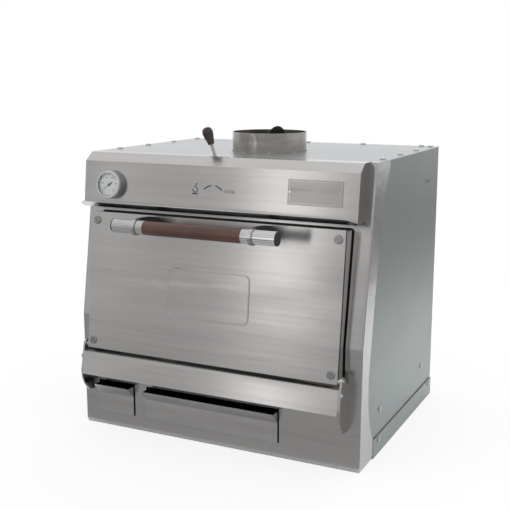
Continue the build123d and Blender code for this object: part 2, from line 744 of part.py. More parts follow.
# Drawer runners: upright walls from the base pan to the hearth plate, each with a ledge for its drawer
with BuildPart() as drawer_runners:
    for left, right, length in DRAWERS.values():
        for edge, inward in ((left, 1), (right, -1)):
            wall = edge + inward * (DRAWER_SIDE - RUNNER_INSET)
            x0, x1 = sorted((wall, wall - inward * RUNNER))
            ledge0, ledge1 = sorted((wall, wall + inward * RUNNER_LEDGE))
            start = FRONT_Y + 3 * SHEET
            end = FRONT_Y + length + RUNNER_REACH
            block(x0, x1, start, end, BASE_PLATE, HEARTH_Z)
            top = DRAWER_BOX_LOW - RUNNER_CLEARANCE
            block(ledge0, ledge1, start, end, top - RUNNER, top)
    for window in range(WINDOWS):
        y0 = FRONT_Y + WINDOW_START + WINDOW_PITCH * window
        block(
            ASH_LEFT - DRAWER_SIDE,
            ASH_LEFT + 2 * DRAWER_SIDE,
            y0,
            y0 + WINDOW,
            DRAWER_BOX_HIGH + WINDOW_LOW_GAP,
            HEARTH_Z - WINDOW_HIGH_GAP,
            mode=Mode.SUBTRACT,
        )
save(drawer_runners.part, "drawer_runners")

# Ceramic wool slabs around the liner
WOOL_IN = LINER_OUT + WOOL_GAP
WOOL_LOW = HEARTH_Z
with BuildPart() as wool_sides:
    for side in (-1, 1):
        x0, x1 = sorted((side * WOOL_IN, side * WOOL_OUT))
        block(x0, x1, FRONT_Y + WOOL_FRONT, LINER_BACK_Y, WOOL_LOW, LINER_TOP_Z)
save(wool_sides.part, "wool_sides")

with BuildPart() as wool_back:
    block(
        -WOOL_OUT,
        WOOL_OUT,
        LINER_BACK_Y + LINER + WOOL_GAP,
        BACK_Y - 2 * SHEET,
        WOOL_LOW,
        LINER_TOP_Z,
    )
save(wool_back.part, "wool_back")

with BuildPart() as wool_top:
    block(
        -WOOL_OUT,
        WOOL_OUT,
        HEADER_BACK_Y + WOOL_TOP_FRONT,
        LINER_BACK_Y,
        LINER_TOP_Z + LINER + WOOL_GAP,
        HEIGHT - BOLT_SHANK - WOOL_GAP,
    )
    with BuildSketch(Plane.XY.offset(LINER_TOP_Z)):
        with Locations((FLUE_X, FLUE_Y)):
            Circle(FLUE_THROAT_R + 2 * WOOL_GAP)
    extrude(amount=HEIGHT - LINER_TOP_Z, mode=Mode.SUBTRACT)
    with BuildSketch(facing(FRONT_Y)):
        with Locations((SHAFT_X, SHAFT_Z)):
            Rectangle(2 * BUSH_FLANGE_R, 2 * BUSH_FLANGE_R)
    extrude(amount=-(FLUE_Y - FRONT_Y + FLUE_R + 2 * BUSH + SHAFT_REACH), mode=Mode.SUBTRACT)
save(wool_top.part, "wool_top")

# Charcoal grate: cast bars in a frame on the hearth plate
with BuildPart() as charcoal_grate:
    grate_y0 = FRONT_Y + GRATE_FRONT
    grate_y1 = FRONT_Y + ASH_LENGTH + GRATE_REAR
    pitch = (2 * GRATE_HALF - GRATE_BAR) / (GRATE_BARS - 1)
    for k in range(GRATE_BARS):
        x0 = -GRATE_HALF + k * pitch
        block(x0, x0 + GRATE_BAR, grate_y0, grate_y1, HEARTH_TOP_Z, HEARTH_TOP_Z + GRATE_HEIGHT)
    for y0 in (grate_y0, (grate_y0 + grate_y1 - GRATE_BAR) / 2, grate_y1 - GRATE_BAR):
        block(
            -GRATE_HALF,
            GRATE_HALF,
            y0,
            y0 + GRATE_BAR,
            HEARTH_TOP_Z,
            HEARTH_TOP_Z + GRATE_HEIGHT - GRATE_TIE_DROP,
        )
save(charcoal_grate.part, "charcoal_grate")

# Grill rails: three angles on each side of the oven
RAIL_BACK_Y = LINER_BACK_Y - RAIL_REAR
with BuildPart() as grill_rails:
    for side in (-1, 1):
        for level in RAIL_LEVELS:
            x0, x1 = sorted((side * LINER_HALF, side * (LINER_HALF - RAIL)))
            block(x0, x1, FRONT_Y + RAIL_FRONT, RAIL_BACK_Y, level - RAIL_THICK, level)
            x0, x1 = sorted((side * LINER_HALF, side * (LINER_HALF - RAIL_THICK)))
            block(x0, x1, FRONT_Y + RAIL_FRONT, RAIL_BACK_Y, level - RAIL, level)
save(grill_rails.part, "grill_rails")

# Cooking grill: round bars in a square frame, on the middle rails
with BuildPart() as cooking_grill:
    grill_half = LINER_HALF - RAIL_THICK - GRILL_SIDE_GAP
    grill_y0 = FRONT_Y + RAIL_FRONT + GRILL_END_GAP
    grill_y1 = RAIL_BACK_Y - GRILL_END_GAP
    grill_z = RAIL_LEVELS[GRILL_LEVEL]
    block(-grill_half, grill_half, grill_y0, grill_y1, grill_z, grill_z + GRILL_FRAME)
    block(
        -grill_half + GRILL_FRAME,
        grill_half - GRILL_FRAME,
        grill_y0 + GRILL_FRAME,
        grill_y1 - GRILL_FRAME,
        grill_z - 1,
        grill_z + GRILL_FRAME + 1,
        mode=Mode.SUBTRACT,
    )
    pitch = 2 * (grill_half - GRILL_FRAME) / (GRILL_BARS + 1)
    with BuildSketch(facing(grill_y0 + GRILL_FRAME / 2)):
        for k in range(GRILL_BARS):
            with Locations((-grill_half + GRILL_FRAME + (k + 1) * pitch, grill_z + GRILL_FRAME / 2)):
                Circle(GRILL_BAR_R)
    extrude(amount=-(grill_y1 - grill_y0 - GRILL_FRAME))
save(cooking_grill.part, "cooking_grill")

# Hood cover: face, chamfer and top flange in one sheet, closed at the ends, with an upturned lip
HOOD_FACE_LOW = (face_y(HOOD_BOTTOM_Z), HOOD_BOTTOM_Z)
HOOD_FACE_HIGH = (face_y(HOOD_CHAMFER_Z), HOOD_CHAMFER_Z)
HOOD_TOP = HEIGHT + SHEET
HOOD_CHAMFER_END = (HOOD_CHAMFER_END_Y, HOOD_TOP)
CHAMFER_RUN = (HOOD_CHAMFER_END[0] - HOOD_FACE_HIGH[0], HOOD_CHAMFER_END[1] - HOOD_FACE_HIGH[1])
CHAMFER_LENGTH = sqrt(CHAMFER_RUN[0] ** 2 + CHAMFER_RUN[1] ** 2)
CHAMFER_IN = (
    HOOD_FACE_HIGH[0] + SHEET * CHAMFER_RUN[1] / CHAMFER_LENGTH,
    HOOD_FACE_HIGH[1] - SHEET * CHAMFER_RUN[0] / CHAMFER_LENGTH,
)
FACE_IN = (HOOD_FACE_LOW[0] + SHEET / FACE_C, HOOD_BOTTOM_Z)
FACE_DIR = (FACE_S, FACE_C)
HOOD_BACK_Y = HOOD_CHAMFER_END_Y + HOOD_FLANGE
LIP_PLANE = Plane(
    origin=(0, HOOD_FACE_LOW[0], HOOD_FACE_LOW[1]),
    x_dir=(1, 0, 0),
    z_dir=(0, LIP_RISE / sqrt(LIP_RUN**2 + LIP_RISE**2), LIP_RUN / sqrt(LIP_RUN**2 + LIP_RISE**2)),
)
LIP_LENGTH = sqrt(LIP_RUN**2 + LIP_RISE**2)
with BuildPart() as hood_cover:
    with BuildSketch(Plane.YZ):
        with BuildLine():
            Polyline(
                HOOD_FACE_LOW,
                HOOD_FACE_HIGH,
                HOOD_CHAMFER_END,
                (HOOD_BACK_Y, HOOD_TOP),
                (HOOD_BACK_Y, HEIGHT),
                (front_y(SHELL_TOP_Z), HEIGHT),
                (front_y(SHELL_TOP_Z), SHELL_TOP_Z),
                (front_y(HOOD_BOTTOM_Z), HOOD_BOTTOM_Z),
                close=True,
            )
        make_face()
    extrude(amount=HOOD_HALF, both=True)
    with BuildSketch(Plane.YZ):
        with BuildLine():
            Polyline(
                (FACE_IN[0] - 5 * FACE_T, FACE_IN[1] - 5),
                crossing(FACE_IN, FACE_DIR, CHAMFER_IN, CHAMFER_RUN),
                crossing(CHAMFER_IN, CHAMFER_RUN, (0, HEIGHT), (1, 0)),
                (HOOD_BACK_Y + 1, HEIGHT),
                (HOOD_BACK_Y + 1, HOOD_BOTTOM_Z - 5),
                close=True,
            )
        make_face()
    extrude(amount=HOOD_HALF - SHEET, both=True, mode=Mode.SUBTRACT)
    with BuildSketch(LIP_PLANE):
        with Locations((0, (SHEET - LIP_LENGTH) / 2)):
            Rectangle(2 * HOOD_HALF, LIP_LENGTH + SHEET)
        fillet(vertices().group_by(Axis.Y)[0], radius=LIP_R)
    extrude(amount=SHEET)
    with BuildSketch(DIAL_PLANE.offset(1)):
        Circle(BOSS_R + 0.3)
    extrude(amount=-10, mode=Mode.SUBTRACT)
    with BuildSketch(Plane.XY.offset(HOOD_TOP + 1)):
        with Locations(((LEVER_SLOT[0] + LEVER_SLOT[1]) / 2, LEVER_Y)):
            SlotOverall(LEVER_SLOT[1] - LEVER_SLOT[0], LEVER_SLOT_WIDTH)
    extrude(amount=-SHEET - 2, mode=Mode.SUBTRACT)
    with BuildSketch(NAME_PLANE.offset(1)):
        with Locations(*[(side * (PLATE_WIDTH / 2 - RIVET_INSET), 0) for side in (-1, 1)]):
            Circle(RIVET_R / 2 + 0.1)
    extrude(amount=-10, mode=Mode.SUBTRACT)
save(hood_cover.part, "hood_cover")

# Name plate, left blank, with a rivet at each end
with BuildPart() as name_plate:
    with BuildSketch(NAME_PLANE):
        RectangleRounded(PLATE_WIDTH, PLATE_HEIGHT, PLATE_R)
        with Locations(*[(side * (PLATE_WIDTH / 2 - RIVET_INSET), 0) for side in (-1, 1)]):
            Circle(RIVET_R / 2 + 0.1, mode=Mode.SUBTRACT)
    extrude(amount=PLATE)
save(name_plate.part, "name_plate")

with BuildPart() as name_plate_rivets:
    rivet_spots = [(side * (PLATE_WIDTH / 2 - RIVET_INSET), 0) for side in (-1, 1)]
    with BuildSketch(NAME_PLANE.offset(PLATE)):
        with Locations(*rivet_spots):
            Circle(RIVET_R)
    extrude(amount=RIVET)
    fillet(name_plate_rivets.faces().sort_by(Axis.Y)[:2].edges(), radius=0.5 * RIVET)
    with BuildSketch(NAME_PLANE.offset(PLATE)):
        with Locations(*rivet_spots):
            Circle(RIVET_R / 2)
    extrude(amount=-PLATE - 2 * SHEET)
save(name_plate_rivets.part, "name_plate_rivets")

# Thermometer
with BuildPart() as thermometer_case:
    with BuildSketch(DIAL_PLANE):
        Circle(CASE_R)
    extrude(amount=CASE_DEPTH)
    with BuildSketch(DIAL_PLANE.offset(CASE_BACK)):
        Circle(CASE_R - 3 * CASE_WALL)
    extrude(amount=CASE_DEPTH, mode=Mode.SUBTRACT)
    with BuildSketch(DIAL_PLANE.offset(CASE_LEDGE)):
        Circle(CASE_R - CASE_WALL)
    extrude(amount=CASE_DEPTH, mode=Mode.SUBTRACT)
    with BuildSketch(DIAL_PLANE):
        Circle(BOSS_R)
    extrude(amount=-BOSS)
save(thermometer_case.part, "thermometer_case")

with BuildPart() as thermometer_bezel:
    with BuildSketch(DIAL_PLANE.offset(BEZEL_BACK)):
        Circle(BEZEL_R)
    extrude(amount=BEZEL_FRONT - BEZEL_BACK)
    fillet(thermometer_bezel.edges().filter_by(GeomType.CIRCLE).sort_by(Axis.Y)[0], radius=BEZEL_EDGE_R)
    with BuildSketch(DIAL_PLANE.offset(BEZEL_BACK)):
        Circle(CASE_R)
    extrude(amount=GLASS_BACK + GLASS - BEZEL_BACK, mode=Mode.SUBTRACT)
    with BuildSketch(DIAL_PLANE.offset(BEZEL_BACK)):
        Circle(BEZEL_LIP_R)
    extrude(amount=BEZEL_FRONT, mode=Mode.SUBTRACT)
save(thermometer_bezel.part, "thermometer_bezel")

with BuildPart() as thermometer_dial:
    with BuildSketch(DIAL_PLANE.offset(CASE_LEDGE)):
        Circle(CASE_R - CASE_WALL - FACE_FIT)
        Circle(SPINDLE_R + SPINDLE_CLEARANCE, mode=Mode.SUBTRACT)
    extrude(amount=DIAL)
save(thermometer_dial.part, "thermometer_dial")

with BuildPart() as thermometer_glass:
    with BuildSketch(DIAL_PLANE.offset(GLASS_BACK)):
        Circle(CASE_R - CASE_WALL - FACE_FIT)
    extrude(amount=GLASS)
save(thermometer_glass.part, "thermometer_glass")

with BuildPart() as thermometer_pointer:
    turn = radians(POINTER_ANGLE)
    tip = (POINTER_TIP * cos(turn), POINTER_TIP * sin(turn))
    tail = (-POINTER_TAIL * cos(turn), -POINTER_TAIL * sin(turn))
    wide = (-POINTER_HALF_WIDTH * sin(turn), POINTER_HALF_WIDTH * cos(turn))
    with BuildSketch(DIAL_PLANE.offset(POINTER_BACK)):
        with BuildLine():
            Polyline(
                tip,
                (tail[0] + wide[0], tail[1] + wide[1]),
                (tail[0] - wide[0], tail[1] - wide[1]),
                close=True,
            )
        make_face()
        Circle(3 * SPINDLE_R)
        with Locations(tail):
            Circle(1.8 * SPINDLE_R)
    extrude(amount=POINTER)
    with BuildSketch(DIAL_PLANE.offset(CASE_LEDGE - 2)):
        Circle(SPINDLE_R)
    extrude(amount=POINTER_BACK - CASE_LEDGE + 3)
save(thermometer_pointer.part, "thermometer_pointer")

with BuildPart() as thermometer_probe:
    with BuildSketch(DIAL_PLANE.offset(-BOSS)):
        Circle(PROBE_R)
    extrude(amount=-PROBE_LENGTH)
save(thermometer_probe.part, "thermometer_probe")

# Flue spigot: a thick throat from the oven ceiling to the roof, and the thinner collar above it
with BuildPart() as flue_spigot:
    with BuildSketch(Plane.XY.offset(LINER_TOP_Z)):
        with Locations((FLUE_X, FLUE_Y)):
            Circle(FLUE_THROAT_R)
            Circle(FLUE_BORE, mode=Mode.SUBTRACT)
    extrude(amount=HEIGHT - LINER_TOP_Z)
    with BuildSketch(Plane.XY.offset(HEIGHT)):
        with Locations((FLUE_X, FLUE_Y)):
            Circle(FLUE_R)
            Circle(FLUE_BORE, mode=Mode.SUBTRACT)
    extrude(amount=FLUE_TOP_Z - HEIGHT)
    with BuildSketch(facing(FLUE_Y - 2 * FLUE_R)):
        with Locations((SHAFT_X, SHAFT_Z)):
            Circle(SHAFT_R + 1)
    extrude(amount=-4 * FLUE_R, mode=Mode.SUBTRACT)
save(flue_spigot.part, "flue_spigot")

with BuildPart() as flue_bushes:
    for side in (-1, 1):
        outer_y = FLUE_Y + side * (FLUE_THROAT_R + BUSH)
        with BuildSketch(facing(outer_y)):
            with Locations((SHAFT_X, SHAFT_Z)):
                Circle(BUSH_R)
        extrude(amount=side * 2 * BUSH)
    with BuildSketch(Plane.XY.offset(LINER_TOP_Z)):
        with Locations((FLUE_X, FLUE_Y)):
            Circle(FLUE_THROAT_R)
    extrude(amount=HEIGHT - LINER_TOP_Z, mode=Mode.SUBTRACT)
    with BuildSketch(facing(FLUE_Y - 2 * FLUE_R)):
        with Locations((SHAFT_X, SHAFT_Z)):
            Circle(SHAFT_R + SHAFT_CLEARANCE)
    extrude(amount=-4 * FLUE_R, mode=Mode.SUBTRACT)
save(flue_bushes.part, "flue_bushes")

# Bush in the front shell
BUSH_FRONT_Y = front_y(SHAFT_Z) - BUSH_FLANGE_R * LEAN_T - BUSH_FLANGE
with BuildPart() as shaft_bush:
    with BuildSketch(facing(BUSH_FRONT_Y)):
        with Locations((SHAFT_X, SHAFT_Z)):
            Circle(BUSH_FLANGE_R)
    extrude(amount=-BUSH_FLANGE)
    with BuildSketch(facing(BUSH_FRONT_Y)):
        with Locations((SHAFT_X, SHAFT_Z)):
            Circle(BUSH_R - 0.4)
    extrude(amount=-BUSH - 2 * BUSH_FLANGE)
    with BuildSketch(facing(BUSH_FRONT_Y + 1)):
        with Locations((SHAFT_X, SHAFT_Z)):
            Circle(SHAFT_R + SHAFT_CLEARANCE)
    extrude(amount=2, mode=Mode.SUBTRACT)
    with BuildSketch(facing(BUSH_FRONT_Y)):
        with Locations((SHAFT_X, SHAFT_Z)):
            Circle(SHAFT_R + SHAFT_CLEARANCE)
    extrude(amount=-2 * BUSH, mode=Mode.SUBTRACT)
save(shaft_bush.part, "shaft_bush")

# Damper: shaft with a flat for the disc, disc, hub, lever rod and knob
DISC_PLANE = Plane(
    origin=(SHAFT_X, FLUE_Y, SHAFT_Z),
    x_dir=(0, 1, 0),
    z_dir=(cos(radians(DISC_TILT)), 0, -sin(radians(DISC_TILT))),
)
with BuildPart() as damper_shaft:
    with BuildSketch(facing(SHAFT_AXIS_FRONT)):
        with Locations((SHAFT_X, SHAFT_Z)):
            Circle(SHAFT_R)
    extrude(amount=-(FLUE_Y + FLUE_THROAT_R + SHAFT_REACH - SHAFT_AXIS_FRONT))
    with BuildSketch(DISC_PLANE.offset(DISC_SEAT)):
        Rectangle(2 * DISC_R + 2, 4 * SHAFT_R)
    extrude(amount=2 * SHAFT_R, mode=Mode.SUBTRACT)
save(damper_shaft.part, "damper_shaft")

with BuildPart() as damper_disc:
    with BuildSketch(DISC_PLANE.offset(DISC_SEAT)):
        Circle(DISC_R)
    extrude(amount=DISC)
save(damper_disc.part, "damper_disc")

# The lever rod passes beside the shaft, so it stands on an offset hub
LEVER_PLANE = Plane(
    origin=(
        SHAFT_X - LEVER_OFFSET * LEVER_C,
        LEVER_Y,
        SHAFT_Z - LEVER_OFFSET * LEVER_S,
    ),
    x_dir=(LEVER_C, 0, LEVER_S),
    z_dir=(0, -1, 0),
)
LEVER_AXIS = Axis(LEVER_PLANE.origin, (-LEVER_S, 0, LEVER_C))
ROD_PLANE = Plane(origin=LEVER_PLANE.origin, x_dir=(0, 1, 0), z_dir=(-LEVER_S, 0, LEVER_C))
with BuildPart() as lever_hub:
    with BuildSketch(LEVER_PLANE.offset(HUB / 2)):
        with Locations((LEVER_OFFSET, 0)):
            Circle(HUB_R)
        Circle(HUB_TIP_R)
        make_hull()
    extrude(amount=-HUB)
    with BuildSketch(LEVER_PLANE.offset(HUB / 2)):
        with Locations((LEVER_OFFSET, 0)):
            Circle(SHAFT_R)
    extrude(amount=-HUB, mode=Mode.SUBTRACT)
    with BuildSketch(ROD_PLANE.offset(-2 * HUB_R)):
        Circle(LEVER_R)
    extrude(amount=4 * HUB_R, mode=Mode.SUBTRACT)
save(lever_hub.part, "lever_hub")

with BuildPart() as lever_rod:
    with BuildSketch(ROD_PLANE.offset(-LEVER_TAIL)):
        Circle(LEVER_R)
    extrude(amount=LEVER_END + LEVER_TAIL)
save(lever_rod.part, "lever_rod")

with BuildPart() as lever_knob:
    with BuildSketch(LEVER_PLANE):
        with BuildLine():
            top = KNOB_START + KNOB_LENGTH
            Line((0, KNOB_START), (KNOB_BOTTOM_R, KNOB_START))
            Line((KNOB_BOTTOM_R, KNOB_START), (KNOB_R, top - 0.45 * KNOB_LENGTH))
            Spline(
                (KNOB_R, top - 0.45 * KNOB_LENGTH),
                (KNOB_R, top - 0.2 * KNOB_LENGTH),
                (0, top),
                tangents=((KNOB_R - KNOB_BOTTOM_R, 0.55 * KNOB_LENGTH), (-1, 0)),
            )
            Line((0, top), (0, KNOB_START))
        make_face()
    revolve(axis=LEVER_AXIS)
    with BuildSketch(ROD_PLANE.offset(KNOB_START - 1)):
        Circle(LEVER_R)
    extrude(amount=LEVER_END - KNOB_START + 1, mode=Mode.SUBTRACT)
save(lever_knob.part, "lever_knob")

# Door skin with a blank pressed panel
SCREW_X = DOOR_HALF - SCREW_INSET_X
SCREW_UPS = (SCREW_INSET_BOTTOM, DOOR_HEIGHT - SCREW_INSET_TOP)
DOOR_SCREWS = [(side * SCREW_X, up) for side in (-1, 1) for up in SCREW_UPS]
with BuildPart() as door_skin:
    with BuildSketch(FACE):
        with Locations((0, DOOR_HEIGHT / 2)):
            RectangleRounded(DOOR_WIDTH, DOOR_HEIGHT, DOOR_R)
        with Locations(*DOOR_SCREWS):
            Circle(SCREW_R + BOLT_HOLE_GAP, mode=Mode.SUBTRACT)
    extrude(amount=-DOOR_SKIN)
    with BuildSketch(FACE):
        with Locations((0, BADGE_UP)):
            RectangleRounded(BADGE_WIDTH, BADGE_HEIGHT, BADGE_R)
    extrude(amount=BADGE_RAISE)
    with BuildSketch(FACE.offset(-DOOR_SKIN)):
        with Locations((0, BADGE_UP)):
            RectangleRounded(
                BADGE_WIDTH - 2 * DOOR_SKIN,
                BADGE_HEIGHT - 2 * DOOR_SKIN,
                BADGE_R - DOOR_SKIN,
            )
    extrude(amount=BADGE_RAISE, mode=Mode.SUBTRACT)
save(door_skin.part, "door_skin")

with BuildPart() as door_spacer:
    with BuildSketch(FACE.offset(-DOOR_SKIN)):
        with Locations((0, DOOR_HEIGHT / 2)):
            Rectangle(DOOR_WIDTH - 2 * DOOR_SPACER_INSET, DOOR_HEIGHT - 2 * DOOR_SPACER_INSET)
        with Locations(*DOOR_SCREWS):
            Circle(SCREW_R + BOLT_HOLE_GAP, mode=Mode.SUBTRACT)
    extrude(amount=-DOOR_SPACER)
    for side in (-1, 1):
        with BuildSketch(across(side * (DOOR_HALF + 1), PIVOT_Y, PIVOT_Z)):
            Circle(PIN_R + PRESS_GAP)
        extrude(amount=-side * (PIN_GRIP + SHEET + 2), mode=Mode.SUBTRACT)
save(door_spacer.part, "door_spacer")

with BuildPart() as door_pan:
    with BuildSketch(FACE.offset(-PAN_FRONT)):
        with Locations((0, DOOR_HEIGHT / 2)):
            RectangleRounded(DOOR_WIDTH, DOOR_HEIGHT, PAN_R)
    extrude(amount=-DOOR_PAN_DEPTH)
    with BuildSketch(FACE.offset(-PAN_FRONT - SHEET)):
        with Locations((0, DOOR_HEIGHT / 2)):
            Rectangle(DOOR_WIDTH - 2 * SHEET, DOOR_HEIGHT - 2 * SHEET)
    extrude(amount=-DOOR_PAN_DEPTH, mode=Mode.SUBTRACT)
    with BuildSketch(FACE.offset(-PAN_FRONT + 1)):
        with Locations(*DOOR_SCREWS):
            Circle(SCREW_R + BOLT_HOLE_GAP)
    extrude(amount=-5, mode=Mode.SUBTRACT)
    for side in (-1, 1):
        with BuildSketch(across(side * (DOOR_HALF + 1), PIVOT_Y, PIVOT_Z)):
            Circle(PIN_R + PRESS_GAP)
        extrude(amount=-side * (PIN_GRIP + SHEET + 2), mode=Mode.SUBTRACT)
save(door_pan.part, "door_pan")

# The inner panel closes the pan and carries the raised plug
with BuildPart() as door_inner_panel:
    with BuildSketch(FACE.offset(-PAN_REAR)):
        with Locations((0, DOOR_HEIGHT / 2)):
            Rectangle(DOOR_WIDTH, DOOR_HEIGHT - 2 * SHEET)
    extrude(amount=-DOOR_BACK)
    with BuildSketch(FACE.offset(-PAN_REAR)):
        with Locations((0, PLUG_BOTTOM + PLUG_HEIGHT / 2)):
            RectangleRounded(PLUG_WIDTH, PLUG_HEIGHT, PLUG_R)
    extrude(amount=-PLUG_DEPTH - DOOR_BACK)
    with BuildSketch(FACE.offset(-PAN_REAR)):
        with Locations((0, PLUG_BOTTOM + PLUG_HEIGHT / 2)):
            Rectangle(PLUG_WIDTH - 2 * DOOR_BACK, PLUG_HEIGHT - 2 * DOOR_BACK)
    extrude(amount=-PLUG_DEPTH, mode=Mode.SUBTRACT)
save(door_inner_panel.part, "door_inner_panel")

with BuildPart() as door_wool:
    with BuildSketch(FACE.offset(-PAN_FRONT - SHEET)):
        with Locations((0, DOOR_HEIGHT / 2)):
            Rectangle(DOOR_WIDTH - 2 * (PIN_GRIP + 4), DOOR_HEIGHT - 6 * SHEET)
        with Locations(*DOOR_SCREWS):
            Circle(SCREW_HEAD_R, mode=Mode.SUBTRACT)
    extrude(amount=-DOOR_PAN_DEPTH + SHEET)
    with BuildSketch(FACE.offset(-PAN_REAR)):
        with Locations((0, PLUG_BOTTOM + PLUG_HEIGHT / 2)):
            Rectangle(PLUG_WIDTH - 3 * DOOR_BACK, PLUG_HEIGHT - 3 * DOOR_BACK)
    extrude(amount=-PLUG_DEPTH + PLUG_WOOL_GAP)
save(door_wool.part, "door_wool")

SEAL_LOW = PLUG_BOTTOM - SEAL_INSET
SEAL_HIGH = PLUG_BOTTOM + PLUG_HEIGHT + SEAL_INSET
SEAL_HALF = PLUG_WIDTH / 2 + SEAL_INSET
with BuildPart() as door_seal:
    with BuildSketch(FACE.offset(-PAN_REAR - DOOR_BACK)):
        with Locations((0, (SEAL_LOW + SEAL_HIGH) / 2)):
            RectangleRounded(2 * (SEAL_HALF + SEAL_BAND), SEAL_HIGH - SEAL_LOW + 2 * SEAL_BAND, 2 * PLUG_R)
            RectangleRounded(2 * SEAL_HALF, SEAL_HIGH - SEAL_LOW, PLUG_R, mode=Mode.SUBTRACT)
    extrude(amount=-SEAL_DEPTH)
    fillet(door_seal.faces().sort_by(Axis.Y)[-1].edges(), radius=SEAL_EDGE_R)
save(door_seal.part, "door_seal")

with BuildPart() as door_screws:
    with BuildSketch(FACE):
        with Locations(*DOOR_SCREWS):
            Circle(SCREW_HEAD_R)
    extrude(amount=SCREW_HEAD)
    tops = door_screws.faces().sort_by(Axis(FACE.origin, FACE.z_dir))[-len(DOOR_SCREWS):]
    fillet(tops.edges(), radius=0.7 * SCREW_HEAD)
    with BuildSketch(FACE):
        with Locations(*DOOR_SCREWS):
            Circle(SCREW_R)
    extrude(amount=-PAN_FRONT - 3 * SHEET)
    with BuildSketch(FACE.offset(SCREW_HEAD)):
        for k, spot in enumerate(DOOR_SCREWS):
            with Locations(spot):
                Rectangle(3 * SCREW_HEAD_R, SLOT_WIDTH, rotation=SLOT_TURNS[k])
    extrude(amount=-SLOT_DEPTH, mode=Mode.SUBTRACT)
save(door_screws.part, "door_screws")

# Handle
HANDLE_Y, HANDLE_Z = face_point(HANDLE_UP, -HANDLE_OUT)
GRIP_HALF = GRIP_LENGTH / 2
CORE_HALF = GRIP_HALF + FERRULE

with BuildPart() as handle_arms:
    for side in (-1, 1):
        arm_plane = Plane(
            origin=(side * ARM_X - ARM / 2, FRONT_Y - DOOR_STANDOFF, DOOR_BOTTOM_Z),
            x_dir=(0, -FACE_C, FACE_S),
            z_dir=(1, 0, 0),
        )
        with BuildSketch(arm_plane):
            with BuildLine():
                Line((0, -ARM_FOOT_LOW), (0, -ARM_FOOT_HIGH))
                Spline(
                    (0, -ARM_FOOT_HIGH),
                    (0.5 * HANDLE_OUT, -ARM_FOOT_HIGH - 1),
                    (HANDLE_OUT, -HANDLE_UP - ARM_EYE_R),
                )
                Line((HANDLE_OUT, -HANDLE_UP - ARM_EYE_R), (HANDLE_OUT, -HANDLE_UP + ARM_EYE_R))
                Spline(
                    (HANDLE_OUT, -HANDLE_UP + ARM_EYE_R),
                    (0.5 * HANDLE_OUT, -ARM_FOOT_LOW - ARM_NECK),
                    (0, -ARM_FOOT_LOW),
                )
            make_face()
            with Locations((HANDLE_OUT, -HANDLE_UP)):
                Circle(ARM_EYE_R)
                Circle(HANDLE_R + PRESS_GAP, mode=Mode.SUBTRACT)
        extrude(amount=ARM)
save(handle_arms.part, "handle_arms")

with BuildPart() as handle_core:
    with BuildSketch(across(-CORE_HALF, HANDLE_Y, HANDLE_Z)):
        Circle(CORE_R)
    extrude(amount=2 * CORE_HALF)
save(handle_core.part, "handle_core")

with BuildPart() as handle_grip:
    with BuildSketch(across(-GRIP_HALF, HANDLE_Y, HANDLE_Z)):
        Circle(HANDLE_R)
        Circle(CORE_R + PRESS_GAP, mode=Mode.SUBTRACT)
    extrude(amount=GRIP_LENGTH)
    fillet(handle_grip.edges().filter_by(GeomType.CIRCLE).filter_by(lambda e: e.radius > CORE_R + 1), radius=1)
save(handle_grip.part, "handle_grip")

# Ferrules, fluted along their length
with BuildPart() as handle_ferrules:
    for side in (-1, 1):
        start = min(side * GRIP_HALF, side * CORE_HALF)
        with BuildSketch(across(start, HANDLE_Y, HANDLE_Z)):
            Circle(HANDLE_R)
            Circle(CORE_R + PRESS_GAP, mode=Mode.SUBTRACT)
            with PolarLocations(HANDLE_R, FLUTES):
                Circle(FLUTE_R, mode=Mode.SUBTRACT)
        extrude(amount=FERRULE)
save(handle_ferrules.part, "handle_ferrules")

with BuildPart() as handle_caps:
    for side in (-1, 1):
        with BuildSketch(across(side * CORE_HALF, HANDLE_Y, HANDLE_Z)):
            Circle(HANDLE_R - 0.5)
        extrude(amount=side * CAP)
    ends = handle_caps.faces().filter_by(Axis.X)
    fillet([ends.sort_by(Axis.X)[0].edges()[0], ends.sort_by(Axis.X)[-1].edges()[0]], radius=1)
save(handle_caps.part, "handle_caps")

# Hinge pins, fixed in the pan's lower front corners, and the brackets that they turn in
PIN_END = BRACKET_X + BRACKET + PIN_REACH
with BuildPart() as hinge_pins:
    for side in (-1, 1):
        start = side * (DOOR_HALF - SHEET - PIN_GRIP)
        with BuildSketch(across(start, PIVOT_Y, PIVOT_Z)):
            Circle(PIN_R)
        extrude(amount=side * PIN_END - start)
save(hinge_pins.part, "hinge_pins")

